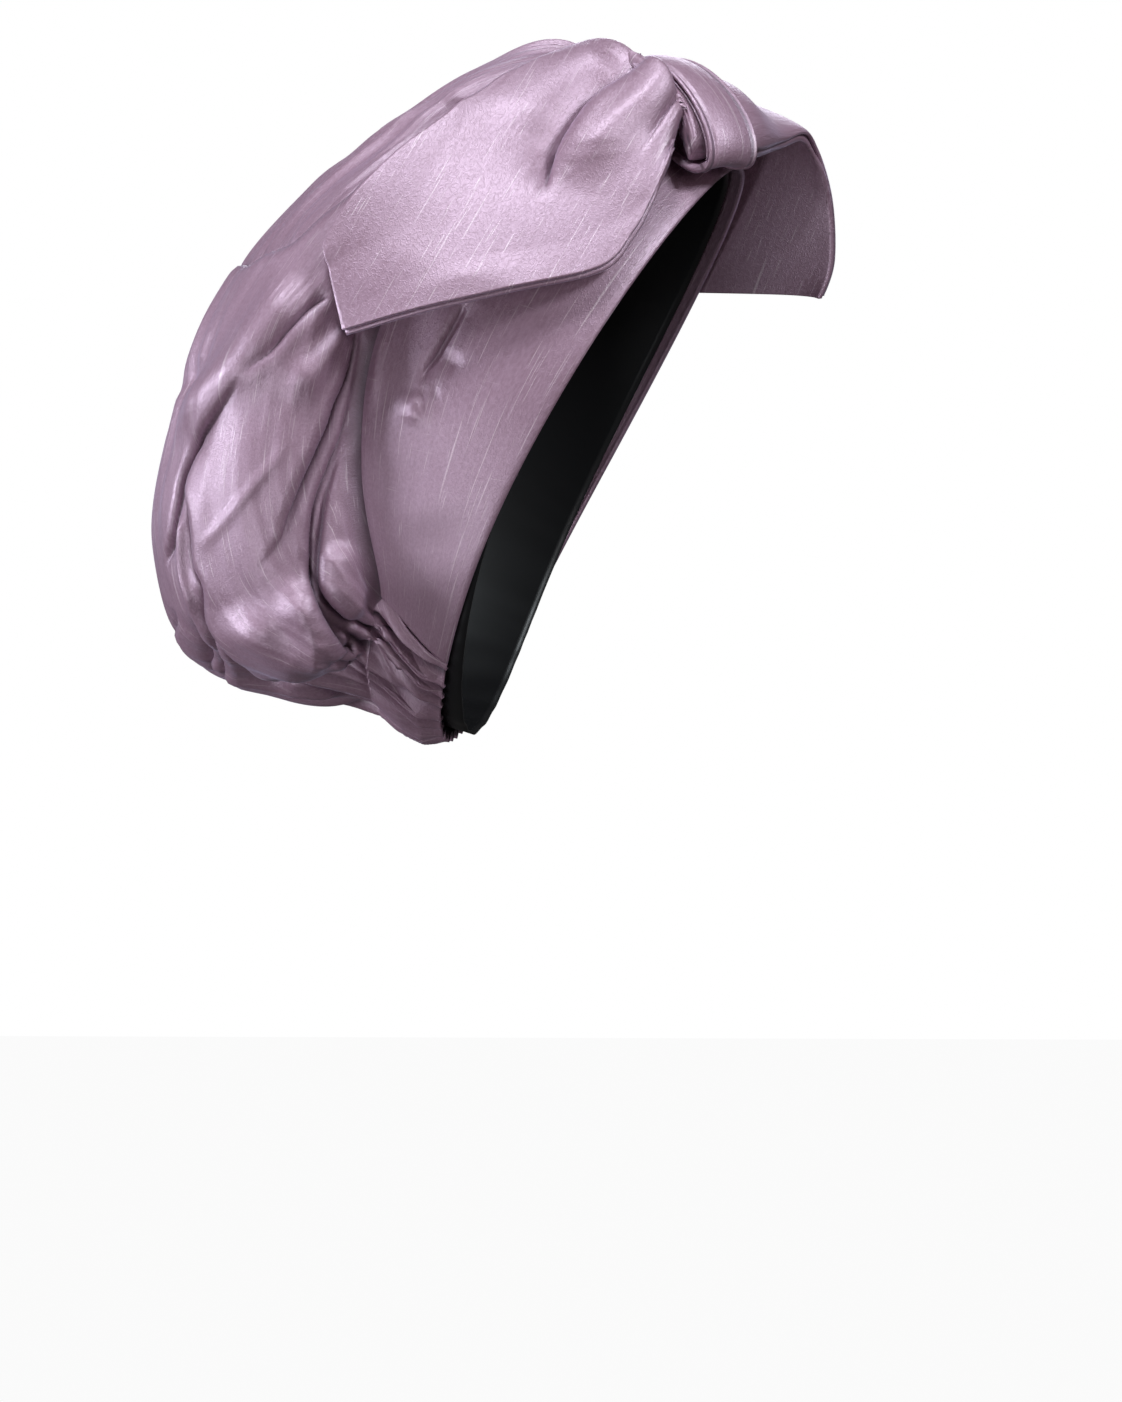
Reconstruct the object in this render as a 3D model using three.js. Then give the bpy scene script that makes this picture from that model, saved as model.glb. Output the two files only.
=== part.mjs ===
// A draped turban headwrap in slubbed silk, with a slouching gathered crown, a smooth front band,
// a ruched elastic nape casing, a black lining and a twisted bow held by a knot loop.
// Millimetres, +Z up. The wearer faces -Y and the wearer's left is +X. The origin is the middle of
// the head opening, so the wearer's head comes in from the front and below.
import * as THREE from "three";

const V = (x, y, z) => new THREE.Vector3(x, y, z);
const rad = THREE.MathUtils.degToRad;

// The head that the wrap is sized for, as an ellipsoid: about 55 cm round at the rim.
const HEAD_CENTRE = V(0, 12, 8);
const HEAD_HALF = V(74, 97, 102);

// The opening lies in a plane through the origin that leans back from the brow to the nape.
const RIM_LEAN = rad(28.8);
const RIM_BACK = V(0, Math.cos(RIM_LEAN), Math.sin(RIM_LEAN));
const RIM_UP = V(0, -Math.sin(RIM_LEAN), Math.cos(RIM_LEAN));
const NAPE_AHEAD = 5; // the rim runs this far forward of the plane at the nape

// Heights of the layers above the head, and their walls.
const LINING_LIFT = 1.0;
const LINING_WALL = 1.0;
const BAND_LIFT = 4.2;
const BAND_WALL = 2.0;
const CROWN_WALL = 2.0;
const CASING_LIFT = 4.4;
const CASING_WALL = 2.0;
const SEAM_GAP = 0.5;

// The view in which the folds below are drawn: from the wearer's right, turned a little to the front.
const VIEW_TURN = rad(10);

// Crown sections from the nape to the knot. Each runs from the seam on one side round the back to
// the seam on the other. seam x, y, z: the seam's point on the wearer's left. back y, z: the middle
// of the back. half_width: the widest half. rim_angle: where the front band's edge lies, from the top.
const SECTIONS = [
  { name: "nape", seam: [60, 58, -48], back: [65, -84], half_width: 58, rim_angle: 147 },
  { name: "underside", seam: [64, 59, -38], back: [95, -83], half_width: 74, rim_angle: 134 },
  { name: "pouch", seam: [67, 61, -24], back: [127.5, -67], half_width: 80, rim_angle: 120.5 },
  { name: "belly", seam: [68, 62, -10], back: [138.5, -32], half_width: 84, rim_angle: 107 },
  { name: "middle", seam: [69, 61, 8], back: [135, -1], half_width: 85, rim_angle: 93 },
  { name: "shoulder", seam: [67, 56, 36], back: [121, 43], half_width: 83, rim_angle: 74 },
  { name: "slope", seam: [62, 45, 64], back: [95, 76], half_width: 76, rim_angle: 53 },
  { name: "crest", seam: [49, 28, 90], back: [66, 100], half_width: 62, rim_angle: 34 },
  { name: "top", seam: [33, 8, 106], back: [33, 123], half_width: 42, rim_angle: 18 },
  { name: "knot", seam: [18, -12, 110], back: [6, 130], half_width: 24, rim_angle: 9 },
  { name: "closing", seam: [15, -15, 110], back: [-16, 112], half_width: 16, rim_angle: 7 },
];
const BAND_CENTRE = { name: "centre", seam: [0, -17, 111], rim_angle: 0 };

// Folds of the crown. path: points as [left, up] in the view, from the origin. kind overlap has a
// higher layer on the side named by over, as seen when walking the path; ridge and valley are soft.
// height and width are of the fold; fade is the share of its length over which each end dies away.
const FOLDS = [
  { name: "top overlap", kind: "overlap", over: "left", height: 5, width: 15, fade: [0.1, 0.15],
    path: [[27, 118], [50, 103], [77, 79], [96, 65], [109, 58]] },
  { name: "top ridge", kind: "ridge", height: 3, width: 8, fade: [0.2, 0.2],
    path: [[37, 113], [66, 92], [95, 69]] },
  { name: "side valley", kind: "valley", height: 3, width: 7, fade: [0.2, 0.1],
    path: [[86, 61], [109, 45], [127, 23]] },
  { name: "side roll", kind: "ridge", height: 4, width: 10, fade: [0.15, 0.1],
    path: [[82, 56], [104, 39], [124, 18], [133, 0]] },
  { name: "back roll edge", kind: "overlap", over: "right", height: 6, width: 11, fade: [0.35, 0.15],
    path: [[82, 47], [100, 28], [112, 17], [124, 6], [128, -7], [131, -23], [132, -35]] },
  { name: "lobe edge", kind: "overlap", over: "left", height: 6, width: 13, fade: [0.1, 0.1],
    path: [[125, 3], [128, -10], [126, -25], [125, -37], [122, -50], [114, -64], [104, -73]] },
  { name: "first pleat", kind: "ridge", height: 5, width: 7, fade: [0.02, 0.3],
    path: [[75, 37], [85, 23], [97, 12]] },
  { name: "pleat valley", kind: "valley", height: 5, width: 8, fade: [0.02, 0.3],
    path: [[74, 35], [85, 5], [93, -15], [100, -28], [107, -42]] },
  { name: "pleat crease", kind: "overlap", over: "right", height: 5, width: 10, fade: [0.05, 0.02],
    path: [[73, 34], [76, 10], [81, -15], [88, -28], [88, -42], [85, -53], [75, -63]] },
  { name: "lobe hem", kind: "overlap", over: "right", height: 6, width: 11, fade: [0.1, 0.2],
    path: [[74, -66], [80, -70], [93, -72], [103, -73]] },
  { name: "under fold outer", kind: "valley", height: 3.5, width: 6, fade: [0.15, 0.15],
    path: [[133, -48], [129, -61], [119, -72], [105, -79]] },
];
const FAR_SHIFT = { left: -5, up: 6, height: 0.9 }; // the folds of the wearer's left differ a little
const FOLD_EDGE = 3.5; // how far an overlap's edge takes to drop
const EDGE_ROWS = 3; // facets over which the folds die away at the crown's seams
const UNDER_SHARE = 0.6; // how far the layer under an overlap sinks, as a share of the fold's height

// The nape casing: gathers side by side along the elastic.
const GATHERS = { count: 15, height: 1.5, bulge: 1.6 };

// The lining reaches past the casing at the nape, and stays behind the band's edge at the brow.
const LINING_EDGE = { brow: 4, nape: -7 };

// The knot loop lies on the band, off centre to the wearer's right, and is turned on the head.
const KNOT = { at: V(-22, -39, 114), turn: rad(30), reach_front: 32, reach_rear: 23, lift: 5.2, rise: 19,
  wall: 2.6, half_front: 14.5, half_rear: 10 };
const NECK = { lift: 10.2, thick: 8.4, front: 16, rear: 12, gap: 0.5 };

// The bow's tails, from the knot outwards. front and rear: the points of the two edges. thick: the
// two layers with the air between. The right tail lies on the crown and the band.
const TAIL_RIGHT = [
  { name: "root", front: [-42, -38, 103], rear: [-21, -5, 130], thick: 8 },
  { name: "swell", front: [-52, -37, 92], rear: [-22, 2, 129], thick: 9 },
  { name: "spread", front: [-60, -32, 79], rear: [-38, 18, 118], thick: 7 },
  { name: "shoulder", front: [-66, -27, 68], rear: [-55, 34, 102], thick: 5 },
  { name: "corner", front: [-73, -17, 56], rear: [-68, 52, 85], thick: 4 },
  { name: "hem", front: [-80, 14, 48], rear: [-76, 63, 73], thick: 3.6 },
  { name: "tip", front: [-87, 62, 40], rear: [-80, 70, 66], thick: 3 },
];
const TAIL_LEFT = [
  { name: "root", front: [8, -63, 98], rear: [10, -28, 116], thick: 9 },
  { name: "swell", front: [28, -66, 99], rear: [36, -14, 110], thick: 9 },
  { name: "drop", front: [44, -68, 82], rear: [58, 0, 94], thick: 6 },
  { name: "hang", front: [52, -66, 62], rear: [74, 8, 74], thick: 4 },
  { name: "hem", front: [55, -60, 49], rear: [82, 8, 52], thick: 3 },
];
const TAIL_PLEAT = {
  name: "tail pleat",
  kind: "overlap",
  over: "left",
  height: 4,
  width: 9,
  fade: [0.3, 0.35],
  path: [[-13, 118], [-5, 111], [2, 101], [8, 90], [15, 82]],
};
const TAIL_CENTRE = V(0, 15, 12); // the tails stand away from this point
const TAIL_CLEAR = 0.9;
const TAIL_AIR = 5; // the most that a tail stands off what it bridges
const RELAX_PASSES = 30;

// How finely each sheet is faceted, along and across.
const FACETS = {
  crown: [56, 30],
  band: [36, 5],
  casing: [52, 3],
  lining: [36, 8],
  tail: [16, 10],
  knot: [28, 4],
};

// Smooth value of a list at a place counted in rows.
function smoothAt(list, place) {
  const last = list.length - 1;
  const i = Math.min(Math.floor(place), last - 1);
  const f = place - i;
  const at = (k) => list[Math.max(0, Math.min(last, k))];
  const [a, b, c, d] = [at(i - 1), at(i), at(i + 1), at(i + 2)];
  const square = 2 * a - 5 * b + 4 * c - d;
  const cube = 3 * b - a - 3 * c + d;
  return 0.5 * (2 * b + (c - a) * f + square * f * f + cube * f * f * f);
}

// A point moved along the line from the head's centre until it lies the given height above the head.
function onHead(point, lift) {
  const out = point.clone().sub(HEAD_CENTRE);
  const scaled = out.clone().divide(HEAD_HALF.clone().addScalar(lift));
  return out.divideScalar(scaled.length()).add(HEAD_CENTRE);
}

// A point of the rim at an angle from the top, on the wearer's right for positive angles.
function rimPoint(angle, lift, behind = 0) {
  const along = RIM_UP.clone().multiplyScalar(Math.cos(angle)).addScaledVector(V(-1, 0, 0), Math.sin(angle));
  const nape = Math.max(0, -Math.cos(angle)) ** 3;
  const start = RIM_BACK.clone().multiplyScalar(behind - NAPE_AHEAD * nape);
  return onHead(start.addScaledVector(along, HEAD_HALF.y), lift);
}

// Rows of points as a triangulated sheet. closed joins the ends of each row, pole ends in one point.
function sheetOf(rows, { closed = false, pole = null } = {}) {
  const points = rows.flat();
  const wide = rows[0].length;
  const triangles = [];
  const steps = closed ? wide : wide - 1;
  for (let j = 0; j + 1 < rows.length; j++) {
    for (let i = 0; i < steps; i++) {
      const [a, b] = [j * wide + i, j * wide + ((i + 1) % wide)];
      triangles.push([a, b, b + wide], [a, b + wide, a + wide]);
    }
  }
  if (pole) {
    const first = (rows.length - 1) * wide;
    points.push(pole);
    for (let i = 0; i < steps; i++) triangles.push([first + i, first + ((i + 1) % wide), points.length - 1]);
  }
  return { points, triangles };
}

// Unit normals of a sheet's points, on the side of its triangles.
function normalsOf({ points, triangles }) {
  const normals = points.map(() => V(0, 0, 0));
  for (const [a, b, c] of triangles) {
    const n = points[b].clone().sub(points[a]).cross(points[c].clone().sub(points[a]));
    for (const k of [a, b, c]) normals[k].add(n);
  }
  return normals.map((n) => n.normalize());
}

// The sheet with its triangles turned, if need be, so that its normals point away from a place.
function facing(sheet, away) {
  const normals = normalsOf(sheet);
  const side = sheet.points.reduce((sum, p, k) => sum + p.clone().sub(away).dot(normals[k]), 0);
  if (side < 0) sheet.triangles = sheet.triangles.map(([a, b, c]) => [a, c, b]);
  return sheet;
}

// A closed wall between a sheet and its copy, each point moved back by its own thickness.
function wallOf({ points, triangles }, thicknessAt, directions = normalsOf({ points, triangles })) {
  const count = points.length;
  const inner = points.map((p, k) => p.clone().addScaledVector(directions[k], -thicknessAt(k)));
  const faces = [...triangles, ...triangles.map(([a, b, c]) => [a + count, c + count, b + count])];
  const edges = new Set(triangles.flatMap(([a, b, c]) => [`${a},${b}`, `${b},${c}`, `${c},${a}`]));
  for (const edge of edges) {
    const [a, b] = edge.split(",").map(Number);
    if (!edges.has(`${b},${a}`)) faces.push([b, a, a + count], [b, a + count, b + count]);
  }
  const geometry = new THREE.BufferGeometry();
  geometry.setAttribute(
    "position",
    new THREE.Float32BufferAttribute([...points, ...inner].flatMap((p) => p.toArray()), 3),
  );
  geometry.setIndex(faces.flat());
  geometry.computeVertexNormals();
  return geometry;
}

// A fold's path on a sheet: its points are found where the sheet shows in the view, then smoothed.
function pathOn(sheet, path, mirrored) {
  const side = mirrored ? 1 : -1;
  const seen = sheet.points.filter((p) => p.x * side >= -1);
  const found = path.map(([left, up]) => {
    const away = (p) =>
      (p.y * Math.cos(VIEW_TURN) + side * p.x * Math.sin(VIEW_TURN) - left) ** 2 + (p.z - up) ** 2;
    return seen.reduce((best, p) => (away(p) < away(best) ? p : best));
  });
  return new THREE.CatmullRomCurve3(found).getSpacedPoints(40);
}

// How far a fold lifts a point that lies a signed distance from its line.
function foldLift(fold, distance) {
  if (fold.kind !== "overlap") {
    return (fold.kind === "valley" ? -1 : 1) * fold.height * Math.exp(-((distance / fold.width) ** 2));
  }
  const over = 0.5 * (1 + Math.tanh(distance / FOLD_EDGE));
  const high = fold.height * Math.exp(-Math.max(distance, 0) / fold.width);
  const low = UNDER_SHARE * fold.height * Math.exp(Math.min(distance, 0) / (0.8 * fold.width));
  return over * high - (1 - over) * low;
}

// A sheet's points moved along their normals by all the folds.
function folded(sheet, folds, bothSides, flatAt = () => 1) {
  const normals = normalsOf(sheet);
  const lift = sheet.points.map(() => 0);
  for (const fold of folds) {
    for (const mirrored of bothSides ? [false, true] : [false]) {
      const shift = mirrored ? FAR_SHIFT : { left: 0, up: 0, height: 1 };
      const path = pathOn(sheet, fold.path.map(([l, u]) => [l + shift.left, u + shift.up]), mirrored);
      const overLeft = (fold.over === "left") !== mirrored ? 1 : -1;
      sheet.points.forEach((p, k) => {
        const away = path.map((q) => q.distanceToSquared(p));
        const near = away.indexOf(Math.min(...away));
        const along = near / (path.length - 1);
        const walk = path[Math.min(near + 1, path.length - 1)].clone().sub(path[Math.max(near - 1, 0)]);
        const gap = p.clone().sub(path[near]);
        const left = Math.sign(normals[k].clone().cross(walk).dot(gap)) * overLeft;
        const fade = THREE.MathUtils.smoothstep(along, 0, fold.fade[0]) *
          THREE.MathUtils.smoothstep(1 - along, 0, fold.fade[1]);
        lift[k] += fade * shift.height * foldLift(fold, left * gap.length());
      });
    }
  }
  sheet.points.forEach((p, k) => p.addScaledVector(normals[k], lift[k] * flatAt(k)));
  return sheet;
}

const wallThickness = (wall) => () => wall;
const seamPoint = (row) => onHead(V(-row.seam[0], row.seam[1], row.seam[2]), BAND_LIFT);

// One crown section's point: share 0 is the seam on the wearer's right, 1 the seam on the left.
function sectionPoint(row, share) {
  const seam = seamPoint(row).addScaledVector(RIM_BACK, SEAM_GAP);
  const back = V(0, row.back[0], row.back[1]);
  const middle = V(0, seam.y, seam.z);
  const half = Math.max(row.half_width, -seam.x + 0.5);
  const open = Math.acos(-seam.x / half);
  const belly = middle.clone().lerp(back, Math.sin(open) / (1 + Math.sin(open)));
  const turn = -open + share * (Math.PI + 2 * open);
  return belly.clone().addScaledVector(back.sub(belly), Math.sin(turn)).setX(-half * Math.cos(turn));
}

// A section between two rows of the table, at a place counted in rows.
function sectionAt(place, rows = SECTIONS) {
  const column = (pick) => smoothAt(rows.map(pick), place);
  return {
    seam: [0, 1, 2].map((k) => column((row) => row.seam[k])),
    back: rows[0].back ? [0, 1].map((k) => column((row) => row.back?.[k] ?? 0)) : null,
    half_width: column((row) => row.half_width ?? 0),
    rim_angle: column((row) => row.rim_angle),
  };
}

function crown() {
  const [around, up] = FACETS.crown;
  const rows = [];
  for (let j = 0; j <= up; j++) {
    const section = sectionAt((j / up) * (SECTIONS.length - 1));
    rows.push(Array.from({ length: around + 1 }, (_, i) => sectionPoint(section, i / around)));
  }
  const sheet = facing(sheetOf(rows), V(0, 40, 10));
  const wide = around + 1;
  const edgeFade = (k) => {
    const [j, i] = [Math.floor(k / wide), k % wide];
    return Math.min(1, Math.min(i, around - i) / EDGE_ROWS, Math.min(j, up - j) / EDGE_ROWS);
  };
  return folded(sheet, FOLDS, true, edgeFade);
}

// The smooth band from the rim back to the seam, over the top of the head from ear to ear.
function frontBand() {
  const [along, across] = FACETS.band;
  const table = [...SECTIONS, BAND_CENTRE];
  const rows = [];
  for (let j = 0; j <= along; j++) {
    const place = (1 - Math.abs(1 - (2 * j) / along)) * (table.length - 1);
    const side = 2 * j > along ? -1 : 1;
    const station = sectionAt(place, table);
    const front = rimPoint(rad(station.rim_angle), BAND_LIFT);
    const rear = seamPoint(station);
    rows.push(
      Array.from({ length: across + 1 }, (_, i) => {
        const point = onHead(front.clone().lerp(rear, i / across), BAND_LIFT);
        return point.setX(point.x * side);
      }),
    );
  }
  return facing(sheetOf(rows), HEAD_CENTRE);
}

// The ruched strip round the nape, between the rim and the crown's lower edge.
function napeCasing() {
  const [along, across] = FACETS.casing;
  const lowest = sectionAt(0);
  const ends = 0.014; // kept clear of the band's two lower ends
  const rows = [];
  for (let j = 0; j <= along; j++) {
    const share = ends + (j / along) * (1 - 2 * ends);
    const rim = rimPoint(rad(SECTIONS[0].rim_angle + share * (360 - 2 * SECTIONS[0].rim_angle)), CASING_LIFT);
    const top = sectionPoint(lowest, share).addScaledVector(RIM_BACK, -SEAM_GAP);
    const wave = Math.sin(share * GATHERS.count * 2 * Math.PI) * Math.sin(Math.PI * share) ** 0.3;
    rows.push(
      Array.from({ length: across + 1 }, (_, i) => {
        const w = i / across;
        const lift = CASING_LIFT + GATHERS.bulge * Math.sin(Math.PI * w) + GATHERS.height * wave;
        return onHead(rim.clone().lerp(top, w), lift).lerp(top, w ** 4);
      }),
    );
  }
  return facing(sheetOf(rows), HEAD_CENTRE);
}

// A close cap inside, open at the rim.
function lining() {
  const [around, deep] = FACETS.lining;
  const pole = onHead(HEAD_CENTRE.clone().addScaledVector(RIM_BACK, 50), LINING_LIFT);
  const rows = [];
  for (let j = 0; j < deep; j++) {
    rows.push(
      Array.from({ length: around }, (_, i) => {
        const angle = (i / around) * 2 * Math.PI;
        const nape = 0.5 - 0.5 * Math.cos(angle);
        const behind = LINING_EDGE.brow + (LINING_EDGE.nape - LINING_EDGE.brow) * nape ** 3;
        const edge = rimPoint(angle, LINING_LIFT, behind);
        const bend = Math.sin((j / deep) * (Math.PI / 2));
        const fall = 1 - Math.cos((j / deep) * (Math.PI / 2));
        const toPole = pole.clone().sub(HEAD_CENTRE).multiplyScalar(bend);
        return onHead(edge.clone().lerp(HEAD_CENTRE, fall).add(toPole), LINING_LIFT);
      }),
    );
  }
  return facing(sheetOf(rows, { closed: true, pole }), HEAD_CENTRE);
}

// The knot's own directions: out from the head, along the bow's waist and down to the brow.
function knotFrame() {
  const out = KNOT.at.clone().sub(HEAD_CENTRE).divide(HEAD_HALF).divide(HEAD_HALF).normalize();
  const right = V(-1, 0, 0);
  const waist0 = right.clone().addScaledVector(out, -right.dot(out)).normalize();
  const down0 = out.clone().cross(waist0);
  const [c, s] = [Math.cos(KNOT.turn), Math.sin(KNOT.turn)];
  const waist = waist0.clone().multiplyScalar(c).addScaledVector(down0, -s);
  const down = down0.clone().multiplyScalar(c).addScaledVector(waist0, s);
  return { waist, down };
}

function knotLoop() {
  const [around, across] = FACETS.knot;
  const { waist, down } = knotFrame();
  const rows = Array.from({ length: around }, (_, j) => {
    const turn = (j / around) * 2 * Math.PI;
    const half = KNOT.half_rear + (KNOT.half_front - KNOT.half_rear) * (0.5 + 0.5 * Math.cos(turn));
    const lift = KNOT.lift + KNOT.rise * (0.5 + 0.5 * Math.sin(turn));
    const reach = Math.cos(turn) > 0 ? KNOT.reach_front : KNOT.reach_rear;
    const start = KNOT.at.clone().addScaledVector(down, reach * Math.cos(turn));
    return Array.from({ length: across + 1 }, (_, i) =>
      onHead(start.clone().addScaledVector(waist, half * (2 * (i / across) - 1)), lift),
    );
  });
  const turned = rows[0].map((_, i) => rows.map((row) => row[i]));
  return facing(sheetOf(turned, { closed: true }), onHead(KNOT.at, KNOT.lift + KNOT.rise / 2));
}

// The furthest place where a line out from the tails' centre meets one of the sheets.
function reachOf(direction, sheets) {
  const ray = new THREE.Ray(TAIL_CENTRE, direction);
  const hit = V(0, 0, 0);
  let far = 0;
  for (const { points, triangles } of sheets) {
    for (const [a, b, c] of triangles) {
      if (ray.intersectTriangle(points[a], points[b], points[c], false, hit)) {
        far = Math.max(far, hit.distanceTo(TAIL_CENTRE));
      }
    }
  }
  return far;
}

// A tail's underside, from inside the knot loop outwards, resting on what lies beneath it.
function tailUnderside(table, side, sheets) {
  const [along, across] = FACETS.tail;
  const { waist, down } = knotFrame();
  const neck = [NECK.gap, KNOT.half_front + 2].map((reach) => {
    const middle = KNOT.at.clone().addScaledVector(waist, side * reach);
    return [NECK.front, -NECK.rear].map((f) => onHead(middle.clone().addScaledVector(down, f), NECK.lift));
  });
  const stations = [...neck, ...table.map((row) => [V(...row.front), V(...row.rear)])];
  const last = stations.length - 1;
  const pointAt = (j, i) => {
    const place = Math.max(0, Math.min(last, (j / along) * last));
    const edge = (e) => V(...["x", "y", "z"].map((k) => smoothAt(stations.map((s) => s[e][k]), place)));
    return edge(0).lerp(edge(1), i / across);
  };
  const floor = [];
  const rays = [];
  for (let j = 0; j <= along; j++) {
    for (let i = 0; i <= across; i++) {
      const point = pointAt(j, i);
      rays.push(point.clone().sub(TAIL_CENTRE).normalize());
      if ((j / along) * last <= 1) {
        floor.push(onHead(point, NECK.lift).distanceTo(TAIL_CENTRE));
        continue;
      }
      let rest = point.distanceTo(TAIL_CENTRE) - TAIL_CLEAR;
      for (const dj of [-0.5, 0, 0.5]) {
        for (const di of [-0.5, 0, 0.5]) {
          const ray = pointAt(j + dj, i + di).sub(TAIL_CENTRE).normalize();
          rest = Math.max(rest, reachOf(ray, sheets) + TAIL_CLEAR);
        }
      }
      floor.push(rest);
    }
  }
  const radius = [...floor];
  const wide = across + 1;
  for (let pass = 0; pass < RELAX_PASSES; pass++) {
    for (let k = 0; k < radius.length; k++) {
      const [j, i] = [Math.floor(k / wide), k % wide];
      if ((j / along) * last <= 1) continue;
      const near = [i > 0 && k - 1, i < across && k + 1, j > 0 && k - wide, j < along && k + wide];
      const values = near.filter((n) => n !== false).map((n) => radius[n]);
      const level = values.reduce((a, b) => a + b) / values.length;
      radius[k] = THREE.MathUtils.clamp(level, floor[k], floor[k] + TAIL_AIR);
    }
  }
  const rows = [];
  for (let j = 0; j <= along; j++) {
    rows.push(
      Array.from({ length: wide }, (_, i) =>
        TAIL_CENTRE.clone().addScaledVector(rays[j * wide + i], radius[j * wide + i])),
    );
  }
  const thick = Array.from({ length: along + 1 }, (_, j) =>
    smoothAt([NECK.thick, NECK.thick, ...table.map((row) => row.thick)], (j / along) * (table.length + 1)));
  return { sheet: facing(sheetOf(rows), TAIL_CENTRE), thick, wide };
}

// A tail with its two layers: full in the middle, thin along its edges.
function tail(table, side, sheets, folds) {
  const { sheet, thick, wide } = tailUnderside(table, side, sheets);
  const under = sheet.points.map((p) => p.clone());
  const normals = normalsOf(sheet);
  sheet.points.forEach((p, k) => {
    const w = (k % wide) / (wide - 1);
    const full = 0.45 + 0.55 * Math.sin(Math.PI * w) ** 0.7;
    p.addScaledVector(normals[k], Math.max(1.6, thick[Math.floor(k / wide)] * full));
  });
  folded(sheet, folds, false);
  const gap = sheet.points.map((p, k) => p.distanceTo(under[k]));
  const inward = sheet.points.map((p, k) => p.clone().sub(under[k]).normalize());
  return wallOf(sheet, (k) => gap[k], inward);
}

const silk = new THREE.MeshStandardMaterial({ color: 0xb795b4, roughness: 0.42, name: "silk" });
const black = new THREE.MeshStandardMaterial({ color: 0x141316, roughness: 0.7, name: "lining" });

const turban = new THREE.Group();
function add(name, geometry, material) {
  const mesh = new THREE.Mesh(geometry, material.clone());
  mesh.name = name;
  turban.add(mesh);
}

const crownSheet = crown();
const bandSheet = frontBand();
add("crown", wallOf(crownSheet, wallThickness(CROWN_WALL)), silk);
add("front_band", wallOf(bandSheet, wallThickness(BAND_WALL)), silk);
add("nape_casing", wallOf(napeCasing(), wallThickness(CASING_WALL)), silk);
add("lining", wallOf(lining(), wallThickness(LINING_WALL)), black);
add("knot_loop", wallOf(knotLoop(), wallThickness(KNOT.wall)), silk);
add("tail_right", tail(TAIL_RIGHT, 1, [crownSheet, bandSheet], [TAIL_PLEAT]), silk);
add("tail_left", tail(TAIL_LEFT, -1, [crownSheet, bandSheet], []), silk);

export default turban;
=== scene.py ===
# %% [markdown]
# # A draped silk turban
# The turban is made piece by piece as cloth: each piece starts as a flat grid, a panel of silk with its
# grain along one side, and is then laid over the head's shape, folded, gathered and hemmed. Sizes are in
# millimetres while a piece is shaped, and in metres once it stands in the scene. The wearer faces -Y, +Z
# is up, and the origin is the middle of the head opening.

# %% Tools and the CAD frame
import math
import bpy
import numpy as np
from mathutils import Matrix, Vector
from mathutils.bvhtree import BVHTree


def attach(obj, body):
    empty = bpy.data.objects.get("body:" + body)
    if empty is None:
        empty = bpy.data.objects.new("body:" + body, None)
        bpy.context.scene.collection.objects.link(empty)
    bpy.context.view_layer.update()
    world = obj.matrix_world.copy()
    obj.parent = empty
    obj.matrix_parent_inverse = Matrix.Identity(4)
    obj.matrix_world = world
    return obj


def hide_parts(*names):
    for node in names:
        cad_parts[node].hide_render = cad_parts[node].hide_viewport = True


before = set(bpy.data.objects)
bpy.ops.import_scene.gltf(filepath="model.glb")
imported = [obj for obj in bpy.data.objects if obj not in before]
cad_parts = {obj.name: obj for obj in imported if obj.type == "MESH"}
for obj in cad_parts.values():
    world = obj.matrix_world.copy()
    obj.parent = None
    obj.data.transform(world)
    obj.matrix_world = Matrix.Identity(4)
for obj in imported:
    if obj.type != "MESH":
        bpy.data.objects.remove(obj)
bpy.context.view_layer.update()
bpy.ops.object.select_all(action="DESELECT")
print("nodes:", sorted(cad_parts))

# %% [markdown]
# ## Sizes
# A turban is cut for a head of one size, so each panel here is laid over one ellipsoid and lifted by the
# layers beneath it. The rim is a plane through the origin that leans back. A sculpted form would do too,
# but with an ellipsoid one line of code finds the cloth's place. Each row of SECTIONS crosses the crown
# from seam to seam: where it meets the band's seam, where it passes the middle of the back (y, z), its
# half width, and the angle along the rim in front of it.

# %% Sizes
HEAD_CENTRE = np.array([0.0, 12.0, 8.0])
HEAD_HALF = np.array([74.0, 97.0, 102.0])
RIM_LEAN = math.radians(28.8)
RIM_BACK = np.array([0.0, math.cos(RIM_LEAN), math.sin(RIM_LEAN)])
RIM_UP = np.array([0.0, -math.sin(RIM_LEAN), math.cos(RIM_LEAN)])
NAPE_AHEAD = 5.0
BAND_LIFT = 4.2
VIEW_TURN = math.radians(10.0)

SECTIONS = [
    {"name": "nape", "seam": (60, 58, -48), "back": (65, -81), "half_width": 58, "rim_angle": 147},
    {"name": "underside", "seam": (64, 59, -38), "back": (95, -80), "half_width": 74, "rim_angle": 134},
    {"name": "pouch", "seam": (67, 61, -24), "back": (127.5, -67), "half_width": 80, "rim_angle": 120.5},
    {"name": "belly", "seam": (68, 62, -10), "back": (138.5, -32), "half_width": 84, "rim_angle": 107},
    {"name": "middle", "seam": (69, 61, 8), "back": (135, -1), "half_width": 85, "rim_angle": 93},
    {"name": "shoulder", "seam": (67, 56, 36), "back": (121, 43), "half_width": 83, "rim_angle": 74},
    {"name": "slope", "seam": (62, 45, 64), "back": (95, 76), "half_width": 76, "rim_angle": 53},
    {"name": "crest", "seam": (49, 28, 90), "back": (66, 100), "half_width": 62, "rim_angle": 34},
    {"name": "top", "seam": (33, 8, 106), "back": (33, 123), "half_width": 42, "rim_angle": 18},
    {"name": "knot", "seam": (18, -12, 110), "back": (6, 130), "half_width": 24, "rim_angle": 9},
    {"name": "closing", "seam": (15, -15, 110), "back": (-16, 112), "half_width": 16, "rim_angle": 7},
]
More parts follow.
